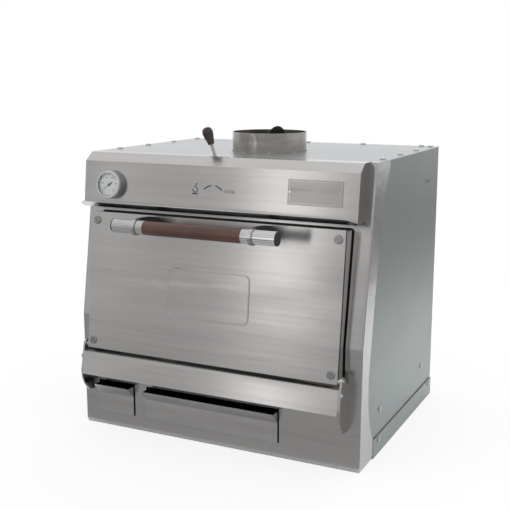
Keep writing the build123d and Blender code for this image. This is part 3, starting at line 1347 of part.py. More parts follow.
TRAY_SCREW_AT = from_door(TRAY_SCREW)
BRACKET_LOW_Z = DOOR_BOTTOM_Z + BRACKET_LOW_UP
BRACKET_FOOT_Z = DOOR_BOTTOM_Z + BRACKET_FOOT_UP
with BuildPart() as hinge_brackets:
    for side in (-1, 1):
        with BuildSketch(Plane.YZ.offset(side * BRACKET_X)):
            with BuildLine():
                toe, knee, hip = [from_door(spot) for spot in BRACKET_FRONT]
                bend = from_door(BRACKET_BEND)
                Polyline((FRONT_Y, BRACKET_LOW_Z), toe, knee)
                ThreePointArc(knee, bend, hip)
                Polyline(
                    hip,
                    (PIVOT_Y - BRACKET_EAR_R, PIVOT_Z),
                    (PIVOT_Y + BRACKET_EAR_R, PIVOT_Z),
                    (FRONT_Y, MOUTH_BOTTOM_Z),
                    (FRONT_Y, BRACKET_LOW_Z),
                )
            make_face()
            with Locations((PIVOT_Y, PIVOT_Z)):
                Circle(BRACKET_EAR_R)
                Circle(PIN_R + PIN_CLEARANCE, mode=Mode.SUBTRACT)
            with Locations(TRAY_SCREW_AT):
                Circle(TRAY_SCREW_R, mode=Mode.SUBTRACT)
        extrude(amount=side * BRACKET)
        x0, x1 = sorted((side * (BRACKET_X - BRACKET_FOOT), side * (BRACKET_X + BRACKET / 2)))
        block(x0, x1, FRONT_Y - BRACKET, FRONT_Y, BRACKET_FOOT_Z, MOUTH_BOTTOM_Z)
save(hinge_brackets.part, "hinge_brackets")

# Drip tray: a folded strip with a tab at each end
TRAY_HALF = BRACKET_X - TRAY_GAP
with BuildPart() as drip_tray:
    with BuildSketch(Plane.YZ):
        with BuildLine():
            Polyline(*[from_door(spot) for spot in (TRAY_BACK, TRAY_BEND, TRAY_FOOT, TRAY_LIP)])
            offset(amount=SHEET, side=Side.LEFT)
        make_face()
    extrude(amount=TRAY_HALF, both=True)
    for side in (-1, 1):
        with BuildSketch(Plane.YZ.offset(side * TRAY_HALF)):
            with BuildLine():
                Polyline(*[from_door(spot) for spot in (TRAY_BACK, TRAY_BEND, *TRAY_TAB)], close=True)
            make_face()
            with Locations(TRAY_SCREW_AT):
                Circle(TRAY_SCREW_R, mode=Mode.SUBTRACT)
        extrude(amount=-side * SHEET)
save(drip_tray.part, "drip_tray")

with BuildPart() as tray_screws:
    for side in (-1, 1):
        seat = side * (BRACKET_X + BRACKET)
        with BuildSketch(Plane.YZ.offset(seat)):
            with Locations(TRAY_SCREW_AT):
                Circle(TRAY_SCREW_HEAD_R)
        extrude(amount=side * TRAY_SCREW_HEAD)
        with BuildSketch(Plane.YZ.offset(seat)):
            with Locations(TRAY_SCREW_AT):
                Circle(TRAY_SCREW_R - PRESS_GAP)
        extrude(amount=-side * BOLT_SHANK)
save(tray_screws.part, "tray_screws")

# Drawers: each has an open box and a front whose upper edge is folded out into a pull with closed ends
for name, (left, right, length) in DRAWERS.items():
    with BuildPart() as drawer_box:
        x0 = left + DRAWER_SIDE
        x1 = right - DRAWER_SIDE
        y1 = FRONT_Y + length
        block(x0, x1, FRONT_Y, y1, DRAWER_BOX_LOW, DRAWER_BOX_HIGH)
        block(
            x0 + DRAWER_WALL,
            x1 - DRAWER_WALL,
            FRONT_Y + DRAWER_WALL,
            y1 - DRAWER_WALL,
            DRAWER_BOX_LOW + DRAWER_WALL,
            DRAWER_BOX_HIGH + 1,
            mode=Mode.SUBTRACT,
        )
    save(drawer_box.part, f"{name}_box")

    with BuildPart() as drawer_front:
        face = FRONT_Y - DRAWER_PROUD
        back = FRONT_Y - DRAWER_WALL
        top = DRAWER_BEND_Z + PULL_UP
        slope = sqrt(PULL_OUT**2 + PULL_UP**2)
        inner_y = face + DRAWER_WALL * PULL_UP / slope
        inner_z = DRAWER_BEND_Z + DRAWER_WALL * PULL_OUT / slope
        with BuildSketch(Plane.YZ.offset(left)):
            with BuildLine():
                Polyline(
                    (face, DRAWER_BEND_Z),
                    (face - PULL_OUT, top),
                    (back, top),
                    (back, DRAWER_BEND_Z),
                    close=True,
                )
            make_face()
        extrude(amount=right - left)
        ends = drawer_front.edges().filter_by(Axis.Y).group_by(Axis.Z)[-1]
        fillet(ends, radius=PULL_R)
        with BuildSketch(Plane.YZ.offset(left + DRAWER_WALL)):
            with BuildLine():
                Polyline(
                    (inner_y, inner_z),
                    (inner_y - 2 * PULL_OUT, inner_z + 2 * PULL_UP),
                    (FRONT_Y, inner_z + 2 * PULL_UP),
                    (FRONT_Y, inner_z),
                    close=True,
                )
            make_face()
        extrude(amount=right - left - 2 * DRAWER_WALL, mode=Mode.SUBTRACT)
        block(left, right, face, FRONT_Y, DRAWER_FRONT_LOW, DRAWER_BEND_Z)
    save(drawer_front.part, f"{name}_front")
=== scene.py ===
import json
import math
import bmesh
import bpy
from mathutils import Matrix, Vector


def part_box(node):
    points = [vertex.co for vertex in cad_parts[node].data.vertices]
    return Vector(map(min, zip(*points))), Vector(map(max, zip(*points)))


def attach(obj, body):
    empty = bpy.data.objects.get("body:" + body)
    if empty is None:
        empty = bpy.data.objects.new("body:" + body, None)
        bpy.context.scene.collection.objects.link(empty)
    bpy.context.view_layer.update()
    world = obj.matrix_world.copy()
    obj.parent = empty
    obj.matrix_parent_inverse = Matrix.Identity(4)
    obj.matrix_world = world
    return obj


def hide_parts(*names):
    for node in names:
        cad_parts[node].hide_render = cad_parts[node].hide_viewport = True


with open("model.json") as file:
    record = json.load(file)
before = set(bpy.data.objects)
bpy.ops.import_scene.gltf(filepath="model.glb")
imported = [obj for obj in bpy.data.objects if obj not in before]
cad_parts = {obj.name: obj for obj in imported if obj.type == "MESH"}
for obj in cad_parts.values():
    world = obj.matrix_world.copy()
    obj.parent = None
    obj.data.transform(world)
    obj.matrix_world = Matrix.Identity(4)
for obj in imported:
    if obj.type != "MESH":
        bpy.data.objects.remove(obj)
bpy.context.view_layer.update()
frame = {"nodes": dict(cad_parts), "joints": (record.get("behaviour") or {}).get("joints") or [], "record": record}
nodes = frame["nodes"]

# Places that come from the frame
MM = 0.001
FACE_LEAN = math.radians(6.7)
FACE_OUT = Vector((0, -math.cos(FACE_LEAN), math.sin(FACE_LEAN)))
FACE_UP = Vector((0, math.sin(FACE_LEAN), math.cos(FACE_LEAN)))
RIGHT = Vector((1, 0, 0))
joints = {j["name"]: j for j in frame["joints"]}
DIAL_FOOT = Vector(joints["pointer_turn"]["pos_m"])
FLUE_LOW, FLUE_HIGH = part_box("flue_spigot")
ROOF_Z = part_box("roof_panel")[1].z

# The arms' eyes round the handle
HANDLE_LOW, HANDLE_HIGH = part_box("handle_core")
HANDLE_AXIS = {"Y": (HANDLE_LOW.y + HANDLE_HIGH.y) / 2, "Z": (HANDLE_LOW.z + HANDLE_HIGH.z) / 2}
ARM_EYE = 0.0184
HOOD_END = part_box("hood_cover")[1].x

# Camera of the photograph
CAMERA_AT = (0.9538, -2.0377, 0.8488)
CAMERA_TARGET = (0.1076, -0.286, 0.4626)
LENS_MM = 63.97


def set_camera():
    data = bpy.data.cameras.new("camera")
    data.lens = LENS_MM
    data.sensor_width = 36.0
    data.sensor_fit = "HORIZONTAL"
    camera = bpy.data.objects.new("camera", data)
    camera.location = CAMERA_AT
    aim = Vector(CAMERA_TARGET) - Vector(CAMERA_AT)
    camera.rotation_euler = aim.to_track_quat("-Z", "Y").to_euler()
    bpy.context.scene.collection.objects.link(camera)
    bpy.context.scene.camera = camera


# Node helpers for materials

def new_material(name):
    material = bpy.data.materials.new(name)
    material.use_nodes = True
    material.node_tree.nodes.clear()
    return material


class Graph:
    """A short way to write a shader's node tree."""

    def __init__(self, material):
        self.tree = material.node_tree

    def add(self, kind, **values):
        node = self.tree.nodes.new(kind)
        for key, value in values.items():
            setattr(node, key, value)
        return node

    def link(self, out, into):
        self.tree.links.new(out, into)

    def place(self, scale=(1, 1, 1), turn=(0, 0, 0)):
        """Object coordinates, stretched by scale after a turn."""
        coord = self.add("ShaderNodeTexCoord")
        mapping = self.add("ShaderNodeMapping")
        mapping.inputs["Scale"].default_value = scale
        mapping.inputs["Rotation"].default_value = turn
        self.link(coord.outputs["Object"], mapping.inputs["Vector"])
        return mapping.outputs["Vector"]

    def noise(self, vector, scale, detail=3.0, roughness=0.55):
        node = self.add("ShaderNodeTexNoise")
        node.inputs["Scale"].default_value = scale
        node.inputs["Detail"].default_value = detail
        node.inputs["Roughness"].default_value = roughness
        self.link(vector, node.inputs["Vector"])
        return node.outputs["Fac"]

    def ramp(self, fac, stops):
        node = self.add("ShaderNodeValToRGB")
        elements = node.color_ramp.elements
        while len(elements) < len(stops):
            elements.new(0.5)
        for element, (at, color) in zip(elements, stops):
            element.position = at
            element.color = color if len(color) == 4 else (*color, 1)
        self.link(fac, node.inputs["Fac"])
        return node.outputs["Color"]

    def span(self, fac, low, high):
        """Maps 0..1 to low..high."""
        node = self.add("ShaderNodeMapRange")
        node.inputs["To Min"].default_value = low
        node.inputs["To Max"].default_value = high
        self.link(fac, node.inputs["Value"])
        return node.outputs["Result"]

    def mix(self, fac, a, b, blend="MIX"):
        node = self.add("ShaderNodeMix", data_type="RGBA", blend_type=blend)
        if isinstance(fac, float):
            node.inputs["Factor"].default_value = fac
        else:
            self.link(fac, node.inputs["Factor"])
        for socket, value in ((6, a), (7, b)):
            if isinstance(value, tuple):
                node.inputs[socket].default_value = value if len(value) == 4 else (*value, 1)
            else:
                self.link(value, node.inputs[socket])
        return node.outputs[2]

    def math(self, operation, a, b):
        node = self.add("ShaderNodeMath", operation=operation)
        for socket, value in ((0, a), (1, b)):
            if isinstance(value, (int, float)):
                node.inputs[socket].default_value = value
            else:
                self.link(value, node.inputs[socket])
        return node.outputs[0]

    def seen(self):
        """1 for what the camera sees, also through glass."""
        path = self.add("ShaderNodeLightPath")
        return self.math("MAXIMUM", path.outputs["Is Camera Ray"], path.outputs["Is Transmission Ray"])

    def bump(self, height, strength, distance, normal=None):
        node = self.add("ShaderNodeBump")
        node.inputs["Strength"].default_value = strength
        node.inputs["Distance"].default_value = distance
        self.link(height, node.inputs["Height"])
        if normal is not None:
            self.link(normal, node.inputs["Normal"])
        return node.outputs["Normal"]

    def shader(self, metallic=0.0, **values):
        node = self.add("ShaderNodeBsdfPrincipled")
        node.inputs["Metallic"].default_value = metallic
        for key, value in values.items():
            node.inputs[key].default_value = value
        output = self.add("ShaderNodeOutputMaterial")
        self.link(node.outputs["BSDF"], output.inputs["Surface"])
        return node


# Scales of the sheet's patterns, in patterns per metre along X, Y and Z
FINE_LINES = (1.6, 60, 1500)
STREAKS = (1.3, 40, 95)
BANDS = (0.9, 7, 14)
CLOUDS = (2.2, 2.2, 2.2)
BRUSHED = (0.54, 0.53, 0.522)
BRUSH_TURN = 0.25
GLOSS_WEAR = 0.05
LINE_DEPTH = 0.0001
SHEET_WAVES = 0.002


def steel(name, color, roughness, anisotropy, grain, smudge, warm):
    """Brushed or plain sheet: fine lines along X, slow clouds, and soft wear in the gloss."""
    material = new_material(name)
    g = Graph(material)
    shader = g.shader(metallic=1.0)
    if anisotropy:
        shader.inputs["Anisotropic"].default_value = anisotropy
        shader.inputs["Anisotropic Rotation"].default_value = BRUSH_TURN
        tangent = g.add("ShaderNodeTangent", direction_type="RADIAL", axis="Z")
        g.link(tangent.outputs["Tangent"], shader.inputs["Tangent"])
    lines = g.noise(g.place(grain), 1.0, 4.0, 0.6)
    streaks = g.noise(g.place(STREAKS), 1.0, 5.0, 0.65)
    bands = g.noise(g.place(BANDS), 1.0, 3.0)
    clouds = g.noise(g.place(CLOUDS), 1.6, 3.0)
    low = tuple(c * (1 - smudge) for c in color)
    high = tuple(c * (1 + smudge) for c in color)
    tint = tuple(c * k for c, k in zip(color, (1 + warm, 1, 1 - warm)))
    wide = g.math("ADD", g.math("MULTIPLY", streaks, 0.5), g.math("MULTIPLY", bands, 0.5))
    base = g.ramp(g.math("ADD", g.math("MULTIPLY", lines, 0.3), g.math("MULTIPLY", wide, 0.7)),
                  [(0.36, low), (0.64, high)])
    g.link(g.mix(g.span(clouds, 0.0, 0.7), base, g.mix(0.5, base, tint)), shader.inputs["Base Color"])
    worn = g.span(bands, -GLOSS_WEAR, GLOSS_WEAR)
    rough = g.math("ADD", worn, g.span(clouds, roughness - GLOSS_WEAR, roughness + GLOSS_WEAR))
    g.link(rough, shader.inputs["Roughness"])
    waves = g.bump(bands, 0.5, SHEET_WAVES)
    g.link(g.bump(lines, 0.05, LINE_DEPTH, waves), shader.inputs["Normal"])
    return material


# Painted shade on the hood's end faces: its colour, its share, and the skin inside the end where it starts
PAINTED_END_SHADE = (0.10, 0.098, 0.095)
END_SHADE_SHARE = 0.75
END_SKIN = 0.0004


def hood_steel(name):
    """Brushed sheet whose closed ends carry painted shade, a painted dark reflection on the end faces."""
    material = steel(name, *SHEETS["brushed_stainless"])
    g = Graph(material)
    shader = next(n for n in material.node_tree.nodes if n.type == "BSDF_PRINCIPLED")
    base = shader.inputs["Base Color"].links[0].from_socket
    coord = g.add("ShaderNodeTexCoord")
    split = g.add("ShaderNodeSeparateXYZ")
    g.link(coord.outputs["Object"], split.inputs["Vector"])
    # end marks the hood's end faces, where the painted shade goes
    end = g.math("GREATER_THAN", g.math("ABSOLUTE", split.outputs["X"], 0), HOOD_END - END_SKIN)
    g.link(g.mix(g.math("MULTIPLY", end, END_SHADE_SHARE), base, PAINTED_END_SHADE), shader.inputs["Base Color"])
    return material


PAINT_WEAR = 0.06
PAINT_CLOUDS = 9.0


def plain(name, color, roughness, metallic, grain, depth, spread):
    """Paint, plastic or cast metal with a fine grain and slight changes in colour and gloss."""
    material = new_material(name)
    g = Graph(material)
    shader = g.shader(metallic=metallic)
    fine = g.noise(g.place(), grain, 4.0)
    slow = g.noise(g.place(), PAINT_CLOUDS, 3.0)
    low = tuple(c * (1 - spread) for c in color)
    high = tuple(min(1.0, c * (1 + spread)) for c in color)
    g.link(g.ramp(g.math("ADD", g.math("MULTIPLY", fine, 0.4), g.math("MULTIPLY", slow, 0.6)),
                  [(0.3, low), (0.7, high)]), shader.inputs["Base Color"])
    g.link(g.span(slow, roughness - PAINT_WEAR, roughness + PAINT_WEAR), shader.inputs["Roughness"])
    g.link(g.bump(fine, 0.4, depth), shader.inputs["Normal"])
    return material


# Black enamel and the bright metal under it: grain per metre, and colours at the grain's low and high
ENAMEL_GRAIN = 320.0
ENAMEL = [(0.3, (0.012, 0.011, 0.011)), (0.7, (0.022, 0.021, 0.02))]
WORN_METAL = [(0.3, (0.48, 0.47, 0.46)), (0.7, (0.56, 0.55, 0.54))]


def arm_steel(name):
    """Black enamel, worn to bright metal where the arm's eye grips the handle."""
    material = new_material(name)
    g = Graph(material)
    shader = g.shader()
    fine = g.noise(g.place(), ENAMEL_GRAIN, 4.0)
    coord = g.add("ShaderNodeTexCoord")
    split = g.add("ShaderNodeSeparateXYZ")
    g.link(coord.outputs["Object"], split.inputs["Vector"])
    away = [g.math("POWER", g.math("SUBTRACT", split.outputs[axis], HANDLE_AXIS[axis]), 2) for axis in "YZ"]
    radius = g.math("SQRT", g.math("ADD", *away), 0)
    eye = g.math("LESS_THAN", radius, ARM_EYE)
    g.link(g.mix(eye, g.ramp(fine, ENAMEL), g.ramp(fine, WORN_METAL)), shader.inputs["Base Color"])
    g.link(g.span(eye, 0.2, 1.0), shader.inputs["Metallic"])
    g.link(g.math("ADD", g.span(eye, 0.36, 0.14), g.span(fine, 0.0, 0.08)), shader.inputs["Roughness"])
    g.link(g.bump(fine, 0.3, 0.0001), shader.inputs["Normal"])
    return material


# Wood: patterns per metre along X, Y and Z, and the colours of each pattern
WOOD_RINGS = (6, 90, 90)
WOOD_PORES = (25, 900, 900)
WOOD_SHADE = (4, 12, 12)
RING_COLORS = [(0.28, (0.042, 0.013, 0.008)), (0.52, (0.078, 0.025, 0.016)), (0.75, (0.112, 0.040, 0.026))]
PORE_COLORS = [(0.30, (0.55, 0.5, 0.48)), (0.48, (1, 1, 1))]
SHADE_COLORS = [(0.3, (0.85, 0.83, 0.82)), (0.7, (1.1, 1.06, 1.04))]


def wood(name):
    """Varnished red-brown wood, with grain lines along X."""
    material = new_material(name)
    g = Graph(material)
    shader = g.shader(**{"Coat Weight": 0.35, "Coat Roughness": 0.25})
    rings = g.noise(g.place(WOOD_RINGS), 1.0, 5.0, 0.6)
    pores = g.noise(g.place(WOOD_PORES), 1.0, 2.0)
    slow = g.noise(g.place(WOOD_SHADE), 1.0, 2.0)
    base = g.ramp(rings, RING_COLORS)
    dark = g.ramp(pores, PORE_COLORS)
    shade = g.ramp(slow, SHADE_COLORS)
    g.link(g.mix(1.0, g.mix(0.7, base, dark, "MULTIPLY"), shade, "MULTIPLY"), shader.inputs["Base Color"])
    g.link(g.span(rings, 0.42, 0.30), shader.inputs["Roughness"])
    g.link(g.bump(pores, 0.25, 0.0001), shader.inputs["Normal"])
    return material


STRAND_STRETCH = (1, 2.5, 1)
STRAND_TURN = (0.4, 0.2, 0.5)
STRAND_DEPTH = 0.0008
FIBRE_LUMPS = 18.0
FIBRE_SHADE = 0.72


def fibre(name, color, scale):
    """Wool slab or woven rope."""
    material = new_material(name)
    g = Graph(material)
    shader = g.shader(**{"Sheen Weight": 0.3, "Sheen Roughness": 0.5})
    strands = g.noise(g.place(STRAND_STRETCH, STRAND_TURN), scale, 5.0, 0.7)
    lumps = g.noise(g.place(), FIBRE_LUMPS, 3.0)
    low = tuple(c * FIBRE_SHADE for c in color)
    g.link(g.mix(g.span(lumps, 0.0, 0.4), g.ramp(strands, [(0.3, low), (0.65, color)]), low),
           shader.inputs["Base Color"])
    g.link(g.span(strands, 0.95, 0.8), shader.inputs["Roughness"])
    g.link(g.bump(strands, 0.7, STRAND_DEPTH), shader.inputs["Normal"])
    return material


GLASS = {"Transmission Weight": 1.0, "IOR": 1.45, "Base Color": (0.97, 0.985, 0.98, 1)}
SMEARS = 60.0


def clear_glass(name):
    material = new_material(name)
    g = Graph(material)
    shader = g.shader(**GLASS)
    smears = g.noise(g.place(), SMEARS, 3.0)
    g.link(g.span(smears, 0.0, 0.05), shader.inputs["Roughness"])
    return material


# Nodes whose material differs from their slot's
DRESS = {
    # hood_steel carries painted shade on the hood's end faces
    "hood_cover": "hood_steel",
    "ash_drawer_front": "drawer_steel",
    "air_drawer_front": "drawer_steel",
    # door_screws and thermometer_case take the darker screw_steel: painted shade
    "door_screws": "screw_steel",
    "thermometer_case": "screw_steel",
}

EVEN_GRAIN = (90, 90, 90)

# Sheet and turned metal: colour, roughness, anisotropy, grain, smudge and warmth
SHEETS = {
    "brushed_stainless": (BRUSHED, 0.22, 0.6, FINE_LINES, 0.09, 0.012),
    "drawer_steel": (BRUSHED, 0.34, 0.4, (8, 14, 60), 0.16, 0.0),
    "panel_steel": ((0.36, 0.388, 0.384), 0.42, 0.0, (40, 6, 240), 0.03, 0.0),
    "flue_steel": ((0.42, 0.405, 0.385), 0.24, 0.0, (70, 70, 2), 0.28, 0.06),
    "roof_steel": ((0.475, 0.495, 0.508), 0.30, 0.0, (2, 160, 3), 0.03, 0.0),
    "grill_wire": ((0.22, 0.21, 0.20), 0.36, 0.0, (60, 60, 60), 0.12, 0.05),
    "bright_steel": ((0.60, 0.60, 0.60), 0.13, 0.0, EVEN_GRAIN, 0.05, 0.0),
    # screw_steel is bright_steel made darker: painted shade on the door screws and the thermometer case
    "screw_steel": ((0.34, 0.335, 0.33), 0.16, 0.0, EVEN_GRAIN, 0.08, 0.0),
    "plate_aluminium": ((0.40, 0.385, 0.37), 0.28, 0.5, (8, 40, 1400), 0.05, 0.01),
}

# Paint, plastic and cast metal: colour, roughness, metallic, grain, its depth in metres, and spread of colour
SOLID_COLOURS = {
    "oven_steel": ((0.060, 0.056, 0.052), 0.5, 0.85, 90.0, 0.0002, 0.35),
    "cast_iron": ((0.030, 0.029, 0.028), 0.72, 0.6, 420.0, 0.0005, 0.3),
    "dial_face": ((0.80, 0.81, 0.80), 0.5, 0.0, 300.0, 0.00005, 0.04),
    "pointer_red": ((0.012, 0.012, 0.013), 0.4, 0.0, 300.0, 0.00005, 0.1),
    "black_plastic": ((0.018, 0.017, 0.017), 0.5, 0.0, 500.0, 0.0001, 0.2),
    "knob_plastic": ((0.030, 0.021, 0.017), 0.36, 0.0, 260.0, 0.0001, 0.25),
    "print_black": ((0.008, 0.008, 0.009), 0.5, 0.0, 400.0, 0.00002, 0.1),
}

# Wool and rope: colour and strands per metre
FIBRES = {
    "ceramic_wool": ((0.80, 0.79, 0.75), 260.0),
    "seal_rope": ((0.11, 0.10, 0.095), 500.0),
}


def make_materials():
    """Every material by its name."""
    made = {name: steel(name, *values) for name, values in SHEETS.items()}
    made.update({name: plain(name, *values) for name, values in SOLID_COLOURS.items()})
    made.update({name: fibre(name, *values) for name, values in FIBRES.items()})
    made["hood_steel"] = hood_steel("hood_steel")
    made["black_steel"] = arm_steel("black_steel")
    made["clear_glass"] = clear_glass("clear_glass")
    made["handle_wood"] = wood("handle_wood")
    return made


def dress_nodes(made):
    for row in frame["record"]["subparts"]:
        mesh = nodes[row["node"]].data
        mesh.materials.clear()
        mesh.materials.append(made[DRESS.get(row["node"], row["material_slot"])])


# Piece helpers

def piece(name, mesh_builder, body, material, smooth=True):
    """A new mesh piece that rides on a CAD body."""
    mesh = bpy.data.meshes.new(name)
    bm = bmesh.new()
    mesh_builder(bm)
    bmesh.ops.recalc_face_normals(bm, faces=bm.faces)
    for face in bm.faces:
        face.smooth = smooth
    bm.to_mesh(mesh)
    bm.free()
    obj = bpy.data.objects.new(name, mesh)
    bpy.context.scene.collection.objects.link(obj)
    mesh.materials.append(material)
    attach(obj, body)
    return obj


def on_face(origin, x, up, out):
    """A point of the sloped face, from distances along it and out of it in millimetres."""
    return origin + (RIGHT * x + FACE_UP * up + FACE_OUT * out) * MM


def strip(bm, points, width, origin, out, thickness, crown=1.0):
    """A line along points on the sloped face, in millimetres. Its top is crown times as wide as its foot."""
    rows = []
    for k, (x, up) in enumerate(points):
        before = points[max(k - 1, 0)]
        after = points[min(k + 1, len(points) - 1)]
        run = Vector((after[0] - before[0], after[1] - before[1])).normalized()
        side = Vector((-run.y, run.x)) * width / 2
        corners = []
        top = out + thickness
        for sign, height in ((-1, out), (1, out), (crown, top), (-crown, top)):
            spot = on_face(origin, x + sign * side.x, up + sign * side.y, height)
            corners.append(bm.verts.new(spot))
        rows.append(corners)
    for a, b in zip(rows, rows[1:]):
        for k in range(4):
            bm.faces.new((a[k], a[(k + 1) % 4], b[(k + 1) % 4], b[k]))
    bm.faces.new(rows[0])
    bm.faces.new(rows[-1][::-1])


def polygon(bm, points, origin, out, thickness):
    """A flat printed shape on the sloped face."""
    low = [bm.verts.new(on_face(origin, x, up, out)) for x, up in points]
    high = [bm.verts.new(on_face(origin, x, up, out + thickness)) for x, up in points]
    bm.faces.new(low[::-1])
    bm.faces.new(high)
    count = len(points)
    for k in range(count):
        bm.faces.new((low[k], low[(k + 1) % count], high[(k + 1) % count], high[k]))


def arc_points(center, radius, start, end, steps):
    """Points along an arc, from start to end in degrees."""
    turns = [math.radians(start + (end - start) * k / steps) for k in range(steps + 1)]
    return [(center[0] + radius * math.cos(t), center[1] + radius * math.sin(t)) for t in turns]


LETTER_HALF = 0.00002


def words(name, text, size, origin, x, up, out, body, material, slot_name):
    """Generic lettering as a thin mesh on the sloped face."""
    curve = bpy.data.curves.new(name, "FONT")
    curve.body = text
    curve.size = size * MM
    curve.extrude = LETTER_HALF
    curve.align_x = "CENTER"
    curve.align_y = "CENTER"
    carrier = bpy.data.objects.new(name + "_curve", curve)
    bpy.context.scene.collection.objects.link(carrier)
    bpy.context.view_layer.update()
    mesh = bpy.data.meshes.new_from_object(carrier.evaluated_get(bpy.context.evaluated_depsgraph_get()))
    bpy.data.objects.remove(carrier)
    spot = on_face(origin, x, up, out)
    turn = Matrix((RIGHT, FACE_UP, FACE_OUT)).transposed().to_4x4()
    mesh.transform(Matrix.Translation(spot) @ turn)
    mesh.materials.clear()
    mesh.materials.append(material)
    obj = bpy.data.objects.new(name, mesh)
    bpy.context.scene.collection.objects.link(obj)
    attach(obj, body)


# Thermometer dial: ticks along the scale and plain numbers
DIAL_OUT = 10.8
SCALE_START = 225.0
SCALE_SWEEP = -270.0
SCALE_R = 25.0
SCALE_STEPS = 50
DEGREES_PER_STEP = 10
MAJOR_EVERY = 5
NUMBER_EVERY = 10
MAJOR_TICK = (3.4, 0.55)
MINOR_TICK = (1.9, 0.25)
RING_GAP = 0.3
RING_WIDTH = 0.3
RING_STEPS = 96
NUMBER_R = 18.0
NUMBER_SIZE = 4.2
UNIT_SIZE = 4.6
UNIT_UP = -13.0
PRINT_GAP = 0.02
PRINT_DEPTH = 0.05


def dial_marks(ink):
    """Ticks, ring, numbers and unit. A tick has a length and a width."""
    def ticks(bm):
        for k in range(SCALE_STEPS + 1):
            turn = math.radians(SCALE_START + SCALE_SWEEP * k / SCALE_STEPS)
            length, width = MAJOR_TICK if k % MAJOR_EVERY == 0 else MINOR_TICK
            ends = [(r * math.cos(turn), r * math.sin(turn)) for r in (SCALE_R - length, SCALE_R)]
            strip(bm, ends, width, DIAL_FOOT, DIAL_OUT + PRINT_GAP, PRINT_DEPTH)
        ring = arc_points((0, 0), SCALE_R + RING_GAP, SCALE_START, SCALE_START + SCALE_SWEEP, RING_STEPS)
        strip(bm, ring, RING_WIDTH, DIAL_FOOT, DIAL_OUT + PRINT_GAP, PRINT_DEPTH)
    piece("dial_ticks", ticks, "body", ink, False)
    print_out = DIAL_OUT + 2 * PRINT_GAP
    for k in range(0, SCALE_STEPS + 1, NUMBER_EVERY):
        turn = math.radians(SCALE_START + SCALE_SWEEP * k / SCALE_STEPS)
        x, up = NUMBER_R * math.cos(turn), NUMBER_R * math.sin(turn)
        number = str(k * DEGREES_PER_STEP)
        words(f"dial_number_{number}", number, NUMBER_SIZE, DIAL_FOOT, x, up, print_out,
              "body", ink, "pointer_red")
    words("dial_unit", "°C", UNIT_SIZE, DIAL_FOOT, 0, UNIT_UP, print_out, "body", ink, "pointer_red")


# Marks beside the damper lever: two curved arrows, an open sign and a word
HOOD_FACE = DIAL_FOOT - RIGHT * DIAL_FOOT.x
ARROW_CENTER = (1.0, -20.0)
ARROW_R = 31.5
ARROW_SWEEPS = ((98, 128), (80, 52))
ARROW_STEPS = 14
ARROW_WIDTH = 2.6
ARROW_TIP = 5
ARROW_HALF = 2.2
SIGN_FOOT = (-44.0, -2.0)
SIGN_BAR = (7, -6.5, 3.0)
SIGN_RING = (3, 6.2, 1.8)
SIGN_RING_TURNS = (120, -190)
SIGN_RING_STEPS = 28
SIGN_FLAG = ((0.5, 11.5), (4.5, 17))
SIGN_FLAG_WIDTH = 2.2
CLOSE_SIZE = 9.0
CLOSE_AT = (42, -0.5)


def lever_marks(ink):
    def arrows(bm):
        for start, end in ARROW_SWEEPS:
            line = arc_points(ARROW_CENTER, ARROW_R, start, end, ARROW_STEPS)
            strip(bm, line, ARROW_WIDTH, HOOD_FACE, PRINT_GAP, PRINT_DEPTH)
            x, up = line[-1]
            lead = Vector((x - line[-2][0], up - line[-2][1])).normalized()
            side = Vector((-lead.y, lead.x)) * ARROW_HALF
            tip = (x + lead.x * ARROW_TIP, up + lead.y * ARROW_TIP)
            corners = [tip, (x + side.x, up + side.y), (x - side.x, up - side.y)]
            polygon(bm, corners, HOOD_FACE, PRINT_GAP, PRINT_DEPTH)

    def open_sign(bm):
        x, up = SIGN_FOOT
        half, drop, width = SIGN_BAR
        bar = [(x - half, up + drop), (x + half, up + drop)]
        strip(bm, bar, width, HOOD_FACE, PRINT_GAP, PRINT_DEPTH)
        rise, radius, width = SIGN_RING
        ring = arc_points((x, up + rise), radius, *SIGN_RING_TURNS, SIGN_RING_STEPS)
        strip(bm, ring, width, HOOD_FACE, PRINT_GAP, PRINT_DEPTH)
        flag = [(x + right, up + high) for right, high in SIGN_FLAG]
        strip(bm, flag, SIGN_FLAG_WIDTH, HOOD_FACE, PRINT_GAP, PRINT_DEPTH)

    piece("lever_arrows", arrows, "body", ink, False)
    piece("lever_open_sign", open_sign, "body", ink, False)
    words("lever_close_word", "CLOSE", CLOSE_SIZE, HOOD_FACE, *CLOSE_AT, PRINT_GAP,
          "body", ink, "pointer_red")


# Raised border of the blank door badge, and the engraved border of the blank name plate
BADGE_HALF = (102.0, 55.0)
BADGE_R = 15.0
BADGE_UP = 156.0
BADGE_OUT = 0.8
BADGE_RIDGE = (3.0, 0.8)
BADGE_CROWN = 0.3
PLATE_AT = (244.8, 8.16)
PLATE_HALF = (58.5, 23.4)
PLATE_OUT = 1.2
PLATE_R = 3.0
PLATE_LINE = 0.7
DOOR_FOOT = Vector((0, -0.3258, 0.2085))


def round_frame(center, half, radius, steps=8):
    """Points round a rectangle with rounded corners, closed."""
    points = []
    for k, (sx, sy) in enumerate(((1, 1), (-1, 1), (-1, -1), (1, -1))):
        corner = (center[0] + sx * (half[0] - radius), center[1] + sy * (half[1] - radius))
        points += arc_points(corner, radius, 90 * k, 90 * (k + 1), steps)
    return points + points[:2]


